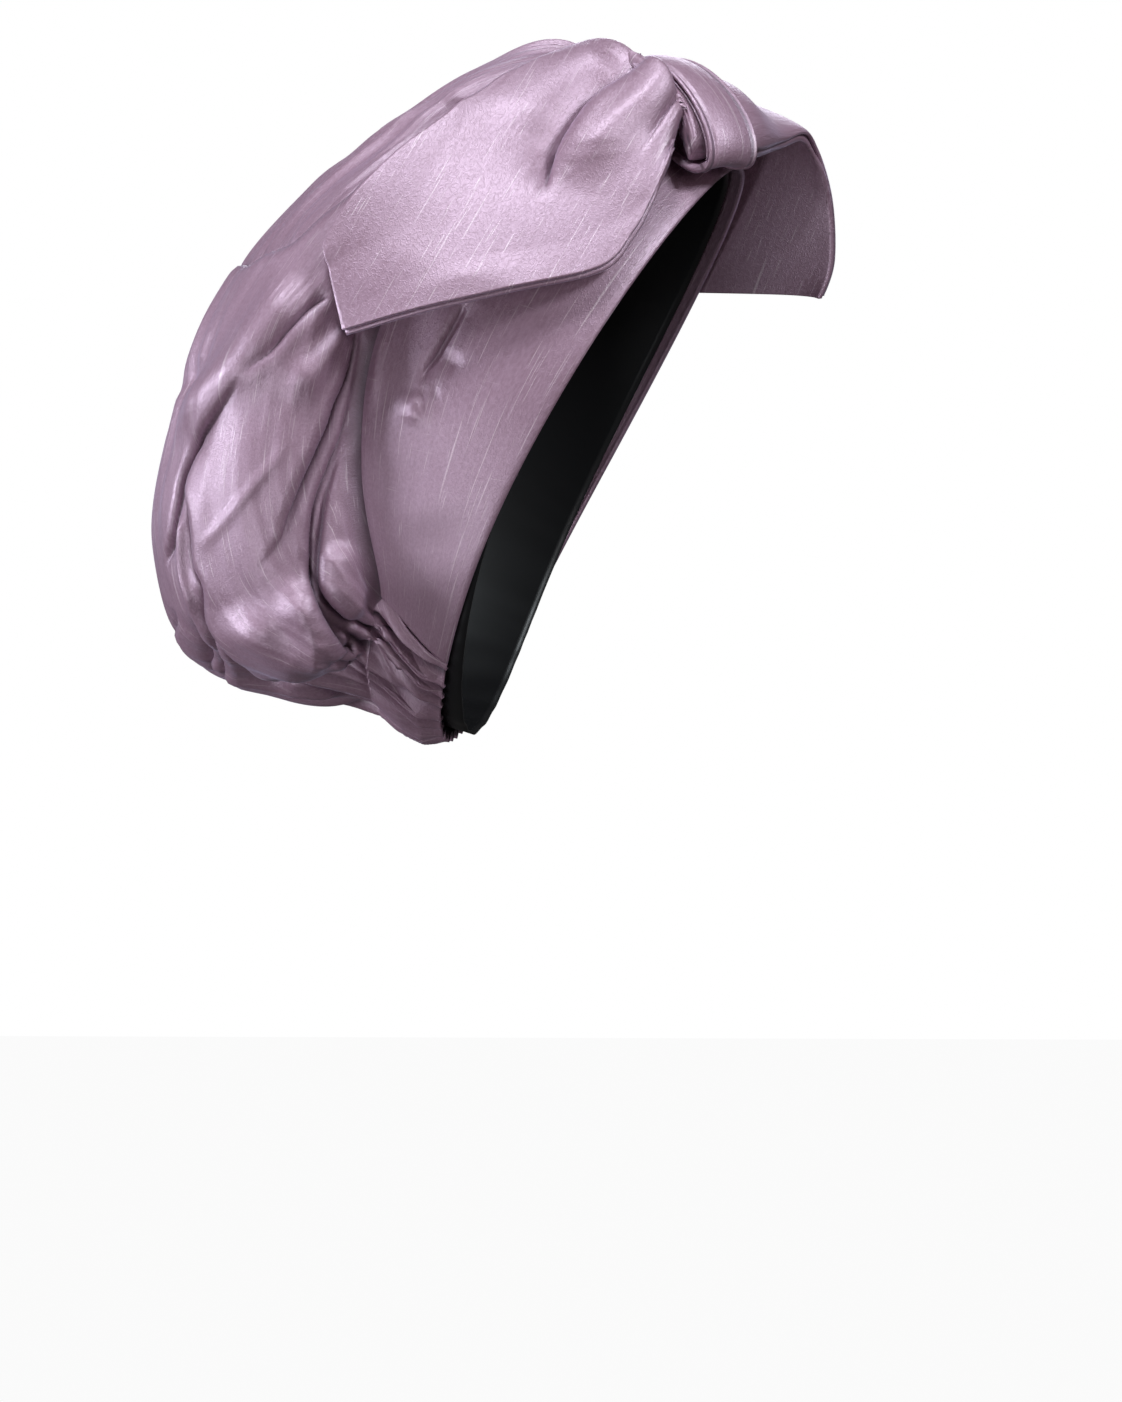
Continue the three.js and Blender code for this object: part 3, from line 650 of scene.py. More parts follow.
def band_points(u, v):
    """The band from rim (v = 0) to seam (v = 1), round from one ear to the other."""
    table = [*SECTIONS, BAND_CENTRE]
    place = (1 - np.abs(1 - 2 * u)) * (len(table) - 1)
    angle = np.radians(column(table, "rim_angle", place)[:, 0])
    seam = column(table, "seam", place) * MIRROR
    front, rear = rim_point(angle, BAND_LIFT), on_head(seam, BAND_LIFT)
    roll = HEM_ROLL * (1 - np.exp(-v * HEM_RATE)) * (1 - np.exp(-(1 - v) * HEM_RATE)) - HEM_ROLL
    lift = BAND_LIFT + BAND_EASE + roll + ripple(u, v, BAND_RIPPLE) * np.sin(np.pi * v)
    points = on_head(front + (rear - front) * v[:, None], lift)
    points[:, 0] *= np.where(u > 0.5, -1.0, 1.0)
    normals = unit((points - HEAD_CENTRE) / HEAD_HALF**2)
    calm = smoothstep(np.minimum(v, 1 - v), *BAND_CALM)
    return folded(points, normals, BAND_FOLDS, (False,), calm)


band = cloth("front_band_cloth", *BAND_GRID, band_points, BAND_PANEL, "wide")
face_away(band, HEAD_CENTRE)
thicken(band, BAND_WALL)

# %% [markdown]
# ## The nape casing
# The casing is a narrow tunnel of silk drawn up on its elastic, so its gathers run from the crown to the
# rim. It could be gathered by a simulation with a shrinking edge. Here it takes the crown's own row of
# gathers and ends at the crown's lowest edge, because then the gathers of the two line up.

# %% Nape casing
CASING_GRID = (CROWN_GRID[0], 40)
CASING_PANEL = (330, 46)
CASING_LIFT = 3.6
CASING_WALL = 1.0
CASING_ENDS = (0.0, 0.03)
RIM_SCALLOP = 0.8
TUBE_BASE = 0.3
TUBE_AT_RIM, TUBE_SWELL, SWELL_OVER = 0.45, 0.75, (0.0, 0.3)
JOIN_OVER = (0.55, 1.0)
edge_count = CROWN_GRID[0] + 1
crown_edge = np.array([vert.co for vert in crown.data.vertices[:edge_count]]) * MM


def casing_points(u, v):
    """The casing from the rim (v = 0) to the crown's edge (v = 1)."""
    first = SECTIONS[0]["rim_angle"]
    ends = smoothstep(np.minimum(u, 1 - u), *CASING_ENDS)
    tube = nape_gathers(u, v - 1.0) * ends
    rim = rim_point(np.radians(first + u * (360 - 2 * first)), CASING_LIFT, -RIM_SCALLOP * tube)
    top = crown_edge[np.arange(len(u)) % edge_count]
    swell = TUBE_AT_RIM + TUBE_SWELL * smoothstep(v, *SWELL_OVER)
    lift = CASING_LIFT + NAPE_GATHER_HEIGHT * (tube + TUBE_BASE) * swell
    points = on_head(rim + (top - rim) * v[:, None], lift)
    # Painted shade in the gathers' valleys.
    shade = nape_valley_shade(u, v - 1.0) * ends
    return points + (top - points) * smoothstep(v, *JOIN_OVER)[:, None], shade


casing = cloth("nape_casing_cloth", *CASING_GRID, casing_points, CASING_PANEL, crowd=CROWD)
face_away(casing, HEAD_CENTRE)
thicken(casing, CASING_WALL)

# %% [markdown]
# ## The lining
# The lining is a close cap of thin black cloth that shows past the casing's edge. It could be half a
# sphere, but one panel from the rim to the pole keeps a clean edge along the leaning rim. A fine ruche at
# the nape follows the elastic.

# %% Lining
LINING_GRID = (240, 70)
LINING_PANEL = (540, 180)
LINING_LIFT = 0.9
LINING_WALL = 0.7
LINING_EDGE = {"brow": 4.0, "nape": -7.0}
POLE_BACK = 50
NEARLY_CLOSED = 0.995
RUCHES, RUCHE_HEIGHT, RUCHE_DEPTH = 46, 0.4, 0.12
RUCHE_DRIFT = {"height": 0.4, "across": 9, "along": 2, "seed": 31}


def lining_points(u, v):
    """The lining from the rim (v = 0) to the pole (v = 1), once round."""
    angle = 2 * np.pi * u
    nape = (0.5 - 0.5 * np.cos(angle)) ** NAPE_POWER
    behind = LINING_EDGE["brow"] + (LINING_EDGE["nape"] - LINING_EDGE["brow"]) * nape
    edge = rim_point(angle, LINING_LIFT, behind)
    pole = on_head((HEAD_CENTRE + POLE_BACK * RIM_BACK)[None], LINING_LIFT)[0]
    deep = v * NEARLY_CLOSED
    bend, fall = np.sin(deep * np.pi / 2), 1 - np.cos(deep * np.pi / 2)
    points = edge + (HEAD_CENTRE - edge) * fall[:, None] + (pole - HEAD_CENTRE) * bend[:, None]
    waves = np.sin(2 * np.pi * (u * RUCHES + ripple(u, v, RUCHE_DRIFT)))
    ruche = RUCHE_HEIGHT * waves * nape**2 * np.exp(-v / RUCHE_DEPTH)
    return on_head(points, LINING_LIFT + ruche), np.zeros_like(u)


lining = cloth("lining_cloth", *LINING_GRID, lining_points, LINING_PANEL)
close_seam(lining)
face_away(lining, HEAD_CENTRE)
thicken(lining, LINING_WALL)

# %% [markdown]
# ## The knot loop
# The loop is a short strap with piped edges that goes once round the bow's waist and holds it. A bent
# torus would be close, but a closed panel keeps the strap's own width, its swell and the groove beside
# the piping.

# %% Knot loop
KNOT = {
    "at": np.array([-22.0, -39.0, 114.0]), "turn": math.radians(30), "aside": 4.0,
    "reach_front": 32.0, "reach_rear": 23.0, "half_front": 11.0, "half_rear": 7.0,
    "lift": 5.2, "rise": 22.0, "wall": 2.2,
}
KNOT_GRID = (160, 60)
KNOT_PANEL = (150, 27)
PIPING = {"height": 0.9, "at": 0.93, "width": 0.06}
GROOVE = {"height": -0.7, "at": 0.74, "width": 0.05}
# Painted shade in the groove beside the piping.
GROOVE_SHADE = {"height": 0.8, "at": 0.8, "width": 0.05}
STRAP_SWELL = 1.6


def knot_axes():
    """The way along the bow's waist, and the way down across it."""
    out = unit((KNOT["at"] - HEAD_CENTRE) / HEAD_HALF**2)
    waist = unit(WEARERS_RIGHT - WEARERS_RIGHT.dot(out) * out)
    down = np.cross(out, waist)
    c, s = math.cos(KNOT["turn"]), math.sin(KNOT["turn"])
    return c * waist - s * down, c * down + s * waist


def hump(x, spec):
    """A smooth rise about one place."""
    return spec["height"] * np.exp(-(((x - spec["at"]) / spec["width"]) ** 2))


WAIST, DOWN = knot_axes()


def knot_points(u, v):
    """The strap, once round the waist (u) and from edge to edge (v)."""
    turn, aside = 2 * np.pi * u, 2 * v - 1
    half = KNOT["half_rear"] + (KNOT["half_front"] - KNOT["half_rear"]) * (0.5 + 0.5 * np.cos(turn))
    lift = KNOT["lift"] + KNOT["rise"] * (0.5 + 0.5 * np.sin(turn))
    reach = np.where(np.cos(turn) > 0, KNOT["reach_front"], KNOT["reach_rear"])
    start = KNOT["at"] + (reach * np.cos(turn))[:, None] * DOWN
    edge = np.abs(aside)
    lift = lift + STRAP_SWELL * (1 - aside**2) + (hump(edge, PIPING) + hump(edge, GROOVE))
    # The second value is painted shade in the groove beside the piping.
    return on_head(start + (half * aside + KNOT["aside"])[:, None] * WAIST, lift), hump(edge, GROOVE_SHADE)


knot = cloth("knot_loop_cloth", *KNOT_GRID, knot_points, KNOT_PANEL, "wide")
close_seam(knot)
face_away(knot, on_head(KNOT["at"][None], KNOT["lift"] + KNOT["rise"] / 2)[0])
thicken(knot, KNOT["wall"])

# %% [markdown]
# ## The bow's tails
# Each tail is a doubled strip that leaves the loop, spreads and rests on whatever lies beneath it. It
# could be dropped there by a simulation. Here the rows give its front and rear edges, rays from the
# middle of the head find what it rests on, and a few hundred easing passes let it span the hollows, which
# comes out the same on every run.

# %% Rows and folds of the tails
TAIL_RIGHT = [
    {"name": "root", "front": (-42, -38, 103), "rear": (-21, -11, 127.5), "thick": 11.5},
    {"name": "swell", "front": (-52, -37, 92), "rear": (-24, 2, 126), "thick": 10},
    {"name": "spread", "front": (-60, -32, 79), "rear": (-38, 18, 116), "thick": 7},
    {"name": "shoulder", "front": (-66, -27, 68), "rear": (-55, 34, 102), "thick": 5},
    {"name": "corner", "front": (-73, -17, 56), "rear": (-68, 52, 85), "thick": 4},
    {"name": "hem", "front": (-80, 14, 47), "rear": (-76, 63, 73), "thick": 3.6},
    {"name": "tip", "front": (-87, 62, 37), "rear": (-80, 69, 63), "thick": 4},
]
TAIL_LEFT = [
    {"name": "root", "front": (8, -63, 98), "rear": (10, -28, 116), "thick": 9},
    {"name": "swell", "front": (30, -68, 100), "rear": (36, -14, 110), "thick": 9},
    {"name": "drop", "front": (45, -72, 83), "rear": (58, 0, 94), "thick": 6},
    {"name": "hang", "front": (52, -72, 62), "rear": (74, 8, 74), "thick": 4},
    {"name": "hem", "front": (55, -68, 50), "rear": (82, 8, 52), "thick": 3},
]
TAIL_FOLDS = [
    fold("tail pleat", "overlap", (0.15, 0.3), (5, 9, 10, 9, 6), 8,
         [(-26.7, 126.9), (-20.2, 123.1), (-8.4, 115.1), (-3, 109.7), (4.5, 98.9), (9.9, 89.3),
          (12.6, 82.8), (12, 78.5)], roll=5),
    fold("front puff", "ridge", (0.2, 0.3), (3, 5, 5, 4), (5, 8, 8, 6),
         [(-31, 121.5), (-22.4, 115.1), (-12.7, 106.5), (-4.1, 96.8), (3.4, 88.2), (6.7, 83.9)]),
    fold("rear swell", "ridge", (0.2, 0.3), 2.5, 11,
         [(-11.6, 129), (1.3, 122.6), (13.1, 110.8), (20.6, 97.9)]),
    fold("root gather 1", "overlap", (0.1, 0.5), (2, 2.5, 1), (2, 4, 5),
         [(-37.4, 110.8), (-33.1, 105.4), (-26.7, 94.6), (-21.3, 83.9)]),
    fold("root gather 2", "overlap", (0.1, 0.5), (2, 2, 1), (2, 3, 4),
         [(-37.4, 116.1), (-31, 111.8), (-22.4, 101.1), (-15.9, 90.3)]),
]
NECK = {"lift": 11.4, "thick": 14.2, "front": 24.0, "rear": 18.0, "gap": 0.5, "past": 5}
print("tail rows:", len(TAIL_RIGHT), "and", len(TAIL_LEFT), "folds:", len(TAIL_FOLDS))

# %% What the tails rest on
TAIL_CENTRE = np.array([0.0, 15.0, 12.0])


def support_tree(objects):
    """A tree of the objects' faces, in mm, for finding where a ray meets them."""
    verts, faces = [], []
    for obj in objects:
        start = len(verts)
        verts += [v.co * MM for v in obj.data.vertices]
        faces += [[start + k for k in p.vertices] for p in obj.data.polygons]
    print("faces to rest on:", len(faces))
    return BVHTree.FromPolygons(verts, faces)


SUPPORT = support_tree([crown, band])

# %% Laying a tail down
TAIL_GRID = (90, 130)
TAIL_CLEAR = 1.4
TAIL_AIR = 5.0
RAY_REACH = 300.0
SETTLE_PASSES = 400


def tail_rows(table, side):
    """The tail's front and rear ends: two rows at the bow's waist, then the table's."""
    ends = []
    for reach in (NECK["gap"], KNOT["half_front"] + NECK["past"]):
        middle = KNOT["at"] + side * reach * WAIST
        edges = [middle + f * DOWN for f in (NECK["front"], -NECK["rear"])]
        ends.append([on_head(edge[None], NECK["lift"])[0] for edge in edges])
    return ends + [[np.array(row["front"], float), np.array(row["rear"], float)] for row in table]


def resting_radius(points, rays, held):
    """How far from TAIL_CENTRE each point rests. Rows that are held stay at the bow's waist."""
    centre = Vector(TAIL_CENTRE)
    floor = np.linalg.norm(points - TAIL_CENTRE, axis=2) - TAIL_CLEAR
    for j, i in np.ndindex(floor.shape):
        ray = Vector(rays[j, i])
        hit = SUPPORT.ray_cast(centre + ray * RAY_REACH, -ray, RAY_REACH)
        if held[j]:
            neck = on_head(points[j, i][None], NECK["lift"])[0]
            floor[j, i] = np.linalg.norm(neck - TAIL_CENTRE)
        elif hit[0] is not None:
            floor[j, i] = max(floor[j, i], (hit[0] - centre).length + TAIL_CLEAR)
    radius = floor.copy()
    for _ in range(SETTLE_PASSES):
        padded = np.pad(radius, 1, mode="edge")
        level = (padded[:-2, 1:-1] + padded[2:, 1:-1] + padded[1:-1, :-2] + padded[1:-1, 2:]) / 4
        level = np.clip(level, floor, floor + TAIL_AIR)
        radius = np.where(held[:, None], radius, level)
    return radius


def tail_sheets(table, side):
    """The underside's points, the way out from the head, each row's thickness and the shares across."""
    wide, long = TAIL_GRID
    ends = tail_rows(table, side)
    place = np.linspace(0, len(ends) - 1, long + 1)
    front, rear = (smooth_at([end[k] for end in ends], place) for k in (0, 1))
    share = np.linspace(0, 1, wide + 1)
    points = front[:, None] + (rear - front)[:, None] * share[None, :, None]
    rays = unit(points - TAIL_CENTRE)
    radius = resting_radius(points, rays, place <= 1)
    thick = smooth_at([NECK["thick"], NECK["thick"], *[row["thick"] for row in table]], place)[:, 0]
    return TAIL_CENTRE + rays * radius[..., None], rays, thick, share


# %% One layer of a tail
TAIL_PANEL = (95, 150)
TAIL_WALL = 1.3
EDGE_SHARE, FULL_POWER = 0.35, 0.5
LEAST_THICK, HEM_THICK = 3.4, 3.0
HEM_SHARE, HEM_OVER = 0.4, (0.0, 0.05)
FOLDS_OVER = (1.2, 2.2)
SECOND_SPREAD = 0.5
GRAIN_ACROSS, GRAIN_UP = 0.87, 0.5


def tail_top(table, side, drop, spread):
    """The upper points of a layer, and the way out from the head at each."""
    long = TAIL_GRID[1]
    under, rays, thick, share = tail_sheets(table, side)
    full = EDGE_SHARE + (1 - EDGE_SHARE) * np.sin(np.pi * share) ** FULL_POWER
    height = np.maximum(LEAST_THICK, thick[:, None] * full[None])
    end = smoothstep(np.arange(long, -1, -1) / long, *HEM_OVER)
    height = HEM_THICK + (height - HEM_THICK) * (HEM_SHARE + (1 - HEM_SHARE) * end)[:, None] - drop
    top = under + rays * height[..., None]
    edge = unit(top[:, 0] - top[:, 1])
    top[:, 0] += spread * edge
    top[:, 1] += SECOND_SPREAD * spread * edge
    return top.reshape(-1, 3), rays.reshape(-1, 3)


def tail_layer(name, table, side, folds, drop, spread):
    """One layer of a tail, drop mm under the top one and spread mm wider."""
    wide, long = TAIL_GRID
    top, rays = tail_top(table, side, drop, spread)
    rows = np.linspace(0, len(table) + 1, long + 1)
    calm = np.repeat(smoothstep(rows, *FOLDS_OVER), wide + 1)
    top, shade = folded(top, rays, folds, (False,), calm)

    def place(u, v):
        order = np.rint(v * long).astype(int) * (wide + 1) + np.rint(u * wide).astype(int)
        return top[order], shade[order]

    def grain(points):
        left = points[:, 1] * math.cos(VIEW_TURN) - side * abs(math.sin(VIEW_TURN)) * points[:, 0]
        across = GRAIN_ACROSS * left + GRAIN_UP * points[:, 2]
        along = GRAIN_UP * left - GRAIN_ACROSS * points[:, 2]
        return np.stack([across, along], axis=1)

    obj = cloth(name, wide, long, place, TAIL_PANEL, grain)
    face_away(obj, TAIL_CENTRE)
    thicken(obj, TAIL_WALL)
    return obj


# %% Tails
UNDER_DROP, UNDER_SPREAD = 1.7, 1.2


def tail(name, table, side, folds):
    """Both layers of a tail, joined into one object."""
    upper = tail_layer(name, table, side, folds, 0.0, 0.0)
    lower = tail_layer(name + "_under", table, side, folds, UNDER_DROP, UNDER_SPREAD)
    take(upper)
    lower.select_set(True)
    bpy.ops.object.join()
    print(name, "joined, with", len(upper.data.polygons), "faces")
    return upper


tail_right = tail("tail_right_cloth", TAIL_RIGHT, 1.0, TAIL_FOLDS)
tail_left = tail("tail_left_cloth", TAIL_LEFT, -1.0, [])

# %% [markdown]
# ## The silk
# Raw silk is woven from uneven yarn: thick slubs run along the grain, a few across it, and the cloth
# keeps a fine crinkle. A photograph of silk could be wrapped on, but it would carry its own light. So
# noise that is stretched along the panel's UV map draws the threads, in a node group of its own, and the
# crease value darkens the folds with painted shade.

# %% Node helpers
SEED_SPREAD = (1.0, 0.7, 1.3)


def set_inputs(node, values):
    """Sets constant values on a node's own sockets."""
    for socket, value in values.items():
        node.inputs[socket].default_value = value


def noise(tree, vector, spec):
    """Noise with so many waves to the metre across the grain and along it."""
    mapping = tree.nodes.new("ShaderNodeMapping")
    offset = [spec["seed"] * share for share in SEED_SPREAD]
    set_inputs(mapping, {"Scale": (spec["across"], spec["along"], 1), "Location": offset})
    tree.links.new(vector, mapping.inputs["Vector"])
    texture = tree.nodes.new("ShaderNodeTexNoise")
    set_inputs(texture, {"Scale": 1.0, "Detail": spec["detail"]})
    tree.links.new(mapping.outputs["Vector"], texture.inputs["Vector"])
    return texture.outputs["Fac"]


def window(tree, value, low, high, top):
    """A value from 0 at low to top at high."""
    node = tree.nodes.new("ShaderNodeMapRange")
    set_inputs(node, {"From Min": low, "From Max": high, "To Max": top})
    tree.links.new(value, node.inputs["Value"])
    return node.outputs["Result"]


def worked(tree, operation, first, second):
    """A math node between two values, each a number or another node's output."""
    node = tree.nodes.new("ShaderNodeMath")
    node.operation = operation
    for socket, value in zip(node.inputs, (first, second)):
        if isinstance(value, float):
            socket.default_value = value
        else:
            tree.links.new(value, socket)
    return node.outputs[0]


def mixed(tree, factor, first, second):
    """A colour between two. The first is a colour or another node's output."""
    node = tree.nodes.new("ShaderNodeMix")
    node.data_type = "RGBA"
    node.inputs["B"].default_value = second
    tree.links.new(factor, node.inputs["Factor"])
    if isinstance(first, tuple):
        node.inputs["A"].default_value = first
    else:
        tree.links.new(first, node.inputs["A"])
    return node.outputs["Result"]


# %% Threads of the silk
THREADS = {
    "thin slub": {"across": 2200, "along": 70, "detail": 1, "seed": 1.0, "window": (0.68, 0.76, 0.65)},
    "thick slub": {"across": 1300, "along": 28, "detail": 1, "seed": 5.0, "window": (0.68, 0.74, 0.55)},
    "cross slub": {"across": 60, "along": 1800, "detail": 1, "seed": 7.0, "window": (0.72, 0.80, 0.3)},
    "weave": {"across": 2600, "along": 1600, "detail": 2, "seed": 13.0, "window": (0.3, 0.7, 0.5)},
    "grain": {"across": 950, "along": 700, "detail": 3, "seed": 23.0, "window": (0.35, 0.65, 1.0)},
    "crinkle": {"across": 640, "along": 540, "detail": 2, "seed": 9.0, "window": (0.06, 0.0, 0.65)},
    "streak": {"across": 500, "along": 30, "detail": 3, "seed": 17.0},
    "patch": {"across": 60, "along": 40, "detail": 3, "seed": 19.0},
}
NOISE_MIDDLE = 0.5
SLUB_HEIGHT = 0.5
STREAK_SHARE, PATCH_SHARE, GRAIN_SHARE = 0.4, 0.3, 0.3


def thread_group():
    """The silk's threads: slubs, the height of the crinkled weave, and a slow change of tone."""
    group = bpy.data.node_groups.new("silk threads", "ShaderNodeTree")
    group.interface.new_socket("Cloth", in_out="INPUT", socket_type="NodeSocketVector")
    for name in ("Slub", "Height", "Tone"):
        group.interface.new_socket(name, in_out="OUTPUT", socket_type="NodeSocketFloat")
    vector = group.nodes.new("NodeGroupInput").outputs["Cloth"]
    out = group.nodes.new("NodeGroupOutput")
    field = {name: noise(group, vector, spec) for name, spec in THREADS.items()}
    centred = worked(group, "SUBTRACT", field["crinkle"], NOISE_MIDDLE)
    field["crinkle"] = worked(group, "ABSOLUTE", centred, 0.0)
    for name, spec in THREADS.items():
        if "window" in spec:
            field[name] = window(group, field[name], *spec["window"])
    slub = worked(group, "MAXIMUM", field["thin slub"], field["thick slub"])
    slub = worked(group, "MAXIMUM", slub, field["cross slub"])
    cloth_height = worked(group, "ADD", field["crinkle"], field["weave"])
    height = worked(group, "ADD", cloth_height, worked(group, "MULTIPLY", slub, SLUB_HEIGHT))
    streak = worked(group, "MULTIPLY", field["streak"], STREAK_SHARE)
    tone = worked(group, "ADD", streak, worked(group, "MULTIPLY", field["patch"], PATCH_SHARE))
    tone = worked(group, "ADD", tone, worked(group, "MULTIPLY", field["grain"], GRAIN_SHARE))
    for name, value in (("Slub", slub), ("Height", height), ("Tone", tone)):
        group.links.new(value, out.inputs[name])
    print("silk threads:", len(group.nodes), "nodes")
    return group


# %% Silk
SILK_DARK, SILK_PALE = (0.245, 0.110, 0.155, 1), (0.470, 0.290, 0.390, 1)
SLUB_COLOUR = (0.72, 0.56, 0.62, 1)
# Painted shade: the dark colour that folds, gather valleys and the band's seam are mixed towards, and how
# far.
PAINTED_SHADE_COLOUR, PAINTED_SHADE_SHARE = (0.05, 0.022, 0.032, 1), 0.92
BUMP_STRENGTH, BUMP_HEIGHT = 0.45, 0.00016
SILK_FINISH = {
    "Metallic": 0.3,
    "Coat Weight": 0.25,
    "Coat Roughness": 0.5,
    "Coat IOR": 1.9,
    "IOR": 2.3,
    "Roughness": 0.5,
    "Specular IOR Level": 0.5,
    "Specular Tint": (0.86, 0.85, 1.0, 1),
    "Sheen Weight": 0.25,
    "Sheen Roughness": 0.35,
    "Sheen Tint": (0.75, 0.68, 0.95, 1),
}


def silk_material():
    """Lilac silk: tone, slubs and painted shade in the folds for its colour, threads for its bump."""
    mat = bpy.data.materials.new("lilac silk")
    mat.use_nodes = True
    tree = mat.node_tree
    shader = tree.nodes["Principled BSDF"]
    uv = tree.nodes.new("ShaderNodeUVMap")
    uv.uv_map = "cloth"
    threads = tree.nodes.new("ShaderNodeGroup")
    threads.node_tree = thread_group()
    tree.links.new(uv.outputs["UV"], threads.inputs["Cloth"])
    # The crease attribute is painted shade: it mixes the colour towards a dark shade colour in folds, gather
    # valleys and along the band's seam.
    painted_shade_attribute = tree.nodes.new("ShaderNodeAttribute")
    painted_shade_attribute.attribute_name = "crease"
    painted_fold_shade = worked(tree, "MULTIPLY", painted_shade_attribute.outputs["Fac"], PAINTED_SHADE_SHARE)
    colour = mixed(tree, threads.outputs["Tone"], SILK_DARK, SILK_PALE)
    colour = mixed(tree, threads.outputs["Slub"], colour, SLUB_COLOUR)
    tree.links.new(mixed(tree, painted_fold_shade, colour, PAINTED_SHADE_COLOUR), shader.inputs["Base Color"])
    bump = tree.nodes.new("ShaderNodeBump")
    set_inputs(bump, {"Strength": BUMP_STRENGTH, "Distance": BUMP_HEIGHT})
    tree.links.new(threads.outputs["Height"], bump.inputs["Height"])
    tree.links.new(bump.outputs["Normal"], shader.inputs["Normal"])
    set_inputs(shader, SILK_FINISH)
    return mat


silk = silk_material()

# %% [markdown]
# ## The lining's cloth
# The lining is a plain, dull black cloth. It could have a weave like the silk's, but it is hardly lit
# inside the wrap, where threads would not be seen, so one dark colour is enough.

# %% Lining cloth
LINING_FINISH = {"Base Color": (0.008, 0.008, 0.009, 1), "Roughness": 0.44}
black = bpy.data.materials.new("black lining")
black.use_nodes = True
set_inputs(black.node_tree.nodes["Principled BSDF"], LINING_FINISH)
print("materials:", silk.name, "and", black.name)

# %% [markdown]
# ## What each piece stands for
# Every cloth piece takes the place of one solid of the frame and rides on its one body. Each is a sheet,
# and the table lists its flat size in metres, and whether the cloth was gathered, folded or stretched.

# %% Table of pieces
PIECES = [
    (crown, "crown", "silk", silk, (0.30, 0.31), "gathered"),
    (band, "front_band", "silk", silk, (0.075, 0.42), "stretched"),
    (casing, "nape_casing", "silk", silk, (0.045, 0.13), "gathered"),
    (lining, "lining", "lining", black, (0.15, 0.48), "stretched"),
    (knot, "knot_loop", "silk", silk, (0.024, 0.14), "folded"),
    (tail_right, "tail_right", "silk", silk, (0.17, 0.14), "folded"),
    (tail_left, "tail_left", "silk", silk, (0.15, 0.125), "folded"),
]
for obj, node, slot, mat, flat, held in PIECES:
    obj.data.materials.clear()
    obj.data.materials.append(mat)
    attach(obj, "root")
    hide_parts(node)
    area = sum(p.area for p in obj.data.polygons)
    print(node, "faces", len(obj.data.polygons), "area", round(area, 5))

# %% [markdown]
# ## Stage
# The wrap is shown before white paper. A lit backdrop would throw light back on the silk, so the world is
# white to the camera alone and nearly dark to the cloth, and the floor glows without casting light or
# shadow.

# %% World
WORLD_COLOUR, WORLD_STRENGTH = (1.0, 0.95, 0.94, 1), 0.05
scene = bpy.context.scene
scene.view_settings.view_transform = "Standard"
world = bpy.data.worlds.new("studio")
scene.world = world
world.use_nodes = True
sky = world.node_tree.nodes
sky["Background"].inputs["Color"].default_value = WORLD_COLOUR
sky["Background"].inputs["Strength"].default_value = WORLD_STRENGTH
paper = sky.new("ShaderNodeBackground")
seen = sky.new("ShaderNodeLightPath")
pick = sky.new("ShaderNodeMixShader")
world.node_tree.links.new(seen.outputs["Is Camera Ray"], pick.inputs["Fac"])
world.node_tree.links.new(sky["Background"].outputs[0], pick.inputs[1])
world.node_tree.links.new(paper.outputs[0], pick.inputs[2])
world.node_tree.links.new(pick.outputs[0], sky["World Output"].inputs["Surface"])
paper.inputs["Color"].default_value = (1, 1, 1, 1)
print("world:", world.name, "with strength", WORLD_STRENGTH)

# %% Floor
FLOOR_LEVEL, FLOOR_SIZE = -0.30, 12
FLOOR_COLOUR = (0.96, 0.96, 0.96, 1)
bpy.ops.mesh.primitive_plane_add(size=FLOOR_SIZE, location=(0, 0, FLOOR_LEVEL))
floor = bpy.context.object
floor.name = "floor"
white = bpy.data.materials.new("pale studio")
white.use_nodes = True
glow = white.node_tree.nodes.new("ShaderNodeEmission")
glow.inputs["Color"].default_value = FLOOR_COLOUR
white_output = white.node_tree.nodes["Material Output"]
white.node_tree.links.new(glow.outputs[0], white_output.inputs["Surface"])
floor.data.materials.append(white)
floor.visible_diffuse = floor.visible_glossy = floor.visible_shadow = False
bpy.ops.object.select_all(action="DESELECT")
print("floor at", FLOOR_LEVEL, "m")

# %% [markdown]
# ## Lights
# Silk shows its folds by small, cool lights at a low angle. A sky or one big lamp would be simpler, but
# would flatten them. The key stands above, the brow and side lights in front, one light low and one
# behind rake the folds, and the far one keeps the other side from going black.

# %% Lights
COOL, COLD, FAINT, WARM = (0.88, 0.95, 1.0), (0.86, 0.92, 1.0), (0.92, 0.95, 1.0), (1.0, 0.95, 0.95)


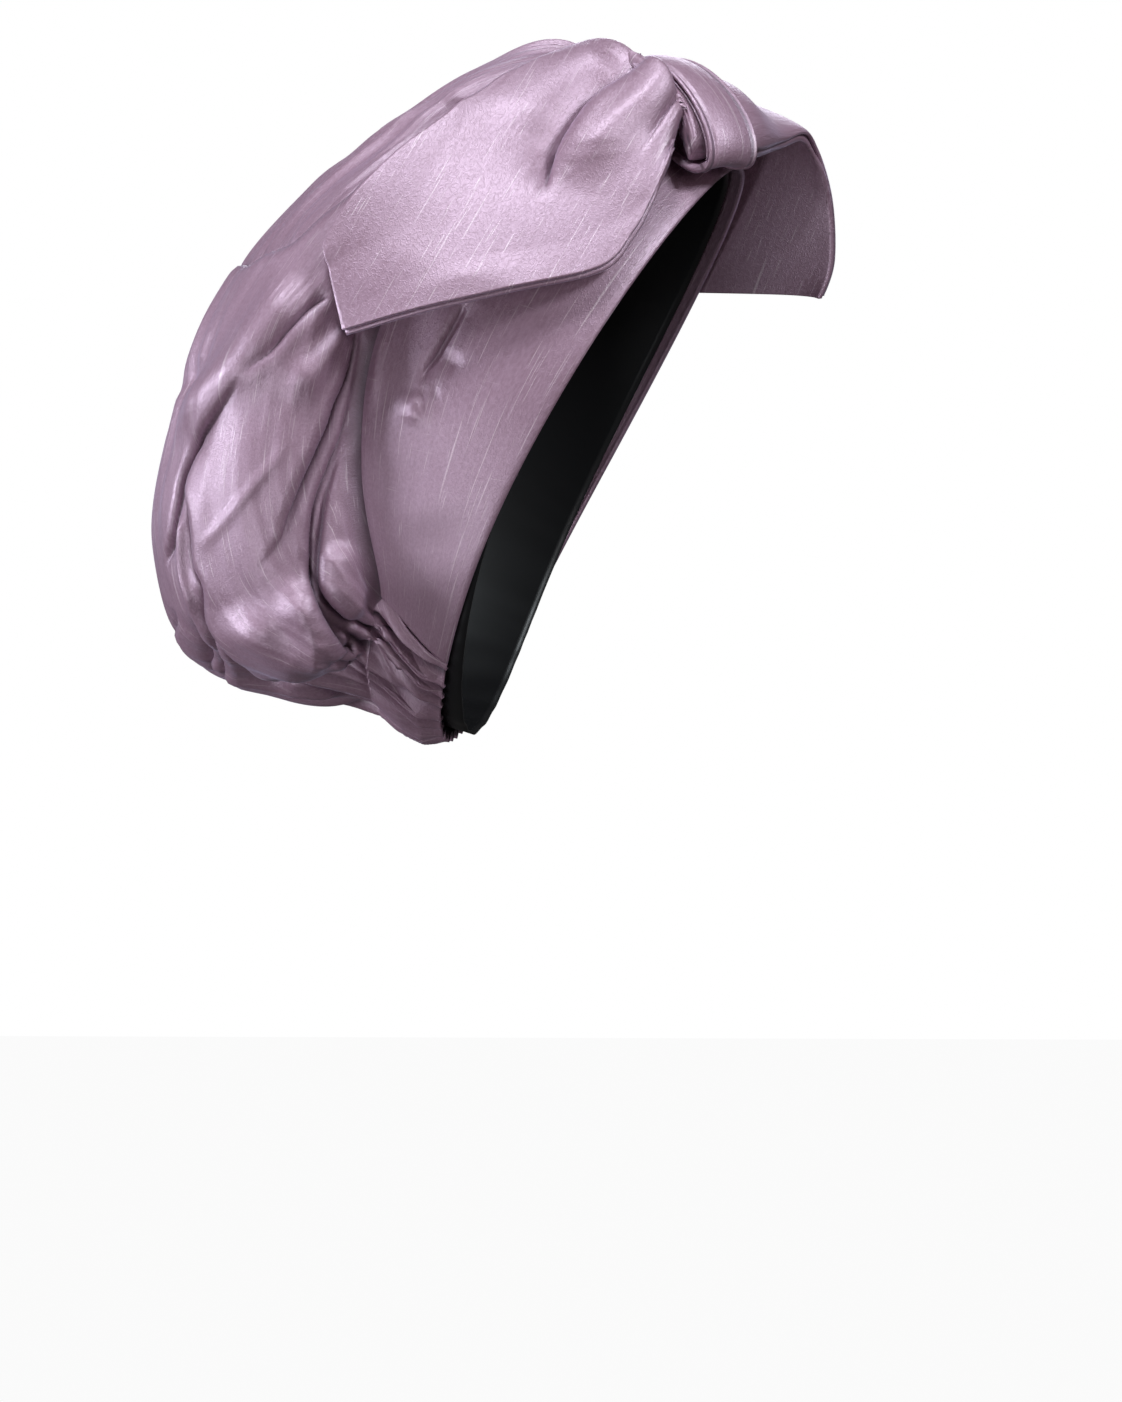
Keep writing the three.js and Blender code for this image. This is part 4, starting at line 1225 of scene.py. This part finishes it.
def area_light(name, at, aim, size, power, colour):
    """A square lamp at a place in metres, turned to where it aims."""
    data = bpy.data.lights.new(name, "AREA")
    data.size = size
    data.energy = power
    data.color = colour
    lamp = bpy.data.objects.new(name, data)
    bpy.context.collection.objects.link(lamp)
    lamp.location = at
    lamp.rotation_euler = (Vector(aim) - Vector(at)).to_track_quat("-Z", "Y").to_euler()
    print("light", name, power, "W")


area_light("key", (-0.55, 0.1, 1.3), (0, 0.02, 0.02), 0.4, 15, COOL)
area_light("brow", (-0.5, -1.1, 0.9), (0, -0.02, 0.08), 0.3, 12.5, COOL)
area_light("side", (-1.0, -1.0, 0.35), (0, 0.0, 0.04), 0.4, 1.5, WARM)
area_light("low", (-1.1, 0.35, -0.5), (0, 0.06, -0.03), 0.35, 5, FAINT)
area_light("back", (-0.45, 1.4, 0.1), (0, 0.05, 0.0), 0.4, 16, COLD)
area_light("far", (1.3, 0.1, 0.7), (0, 0.02, 0.02), 0.4, 6, FAINT)

# %% [markdown]
# ## Camera
# The picture was taken from the wearer's right, a little to the front, with hardly any perspective. A far
# camera with a long lens does the same. The picture's scale and the place of the origin in it set the
# lens and the aim.

# %% Camera
SCALE = 3.1
CENTRE_PX, ORIGIN_PX, HEIGHT_PX = (561.0, 701.0), (584.0, 450.0), 1402
SENSOR, DISTANCE = 36.0, 6.0
PX_PER_M = SCALE * MM
right = Vector((math.sin(VIEW_TURN), -math.cos(VIEW_TURN), 0))
toward = Vector((-math.cos(VIEW_TURN), -math.sin(VIEW_TURN), 0))
up = Vector((0, 0, 1))
aim = right * ((CENTRE_PX[0] - ORIGIN_PX[0]) / PX_PER_M) + up * ((ORIGIN_PX[1] - CENTRE_PX[1]) / PX_PER_M)
camera_data = bpy.data.cameras.new("camera")
camera_data.lens = SENSOR * DISTANCE / (HEIGHT_PX / PX_PER_M)
camera = bpy.data.objects.new("camera", camera_data)
bpy.context.collection.objects.link(camera)
camera.location = aim + toward * DISTANCE
camera.rotation_euler = (-toward).to_track_quat("-Z", "Y").to_euler()
bpy.context.scene.camera = camera
print("camera at", [round(x, 3) for x in camera.location], "lens", round(camera_data.lens, 1), "mm")
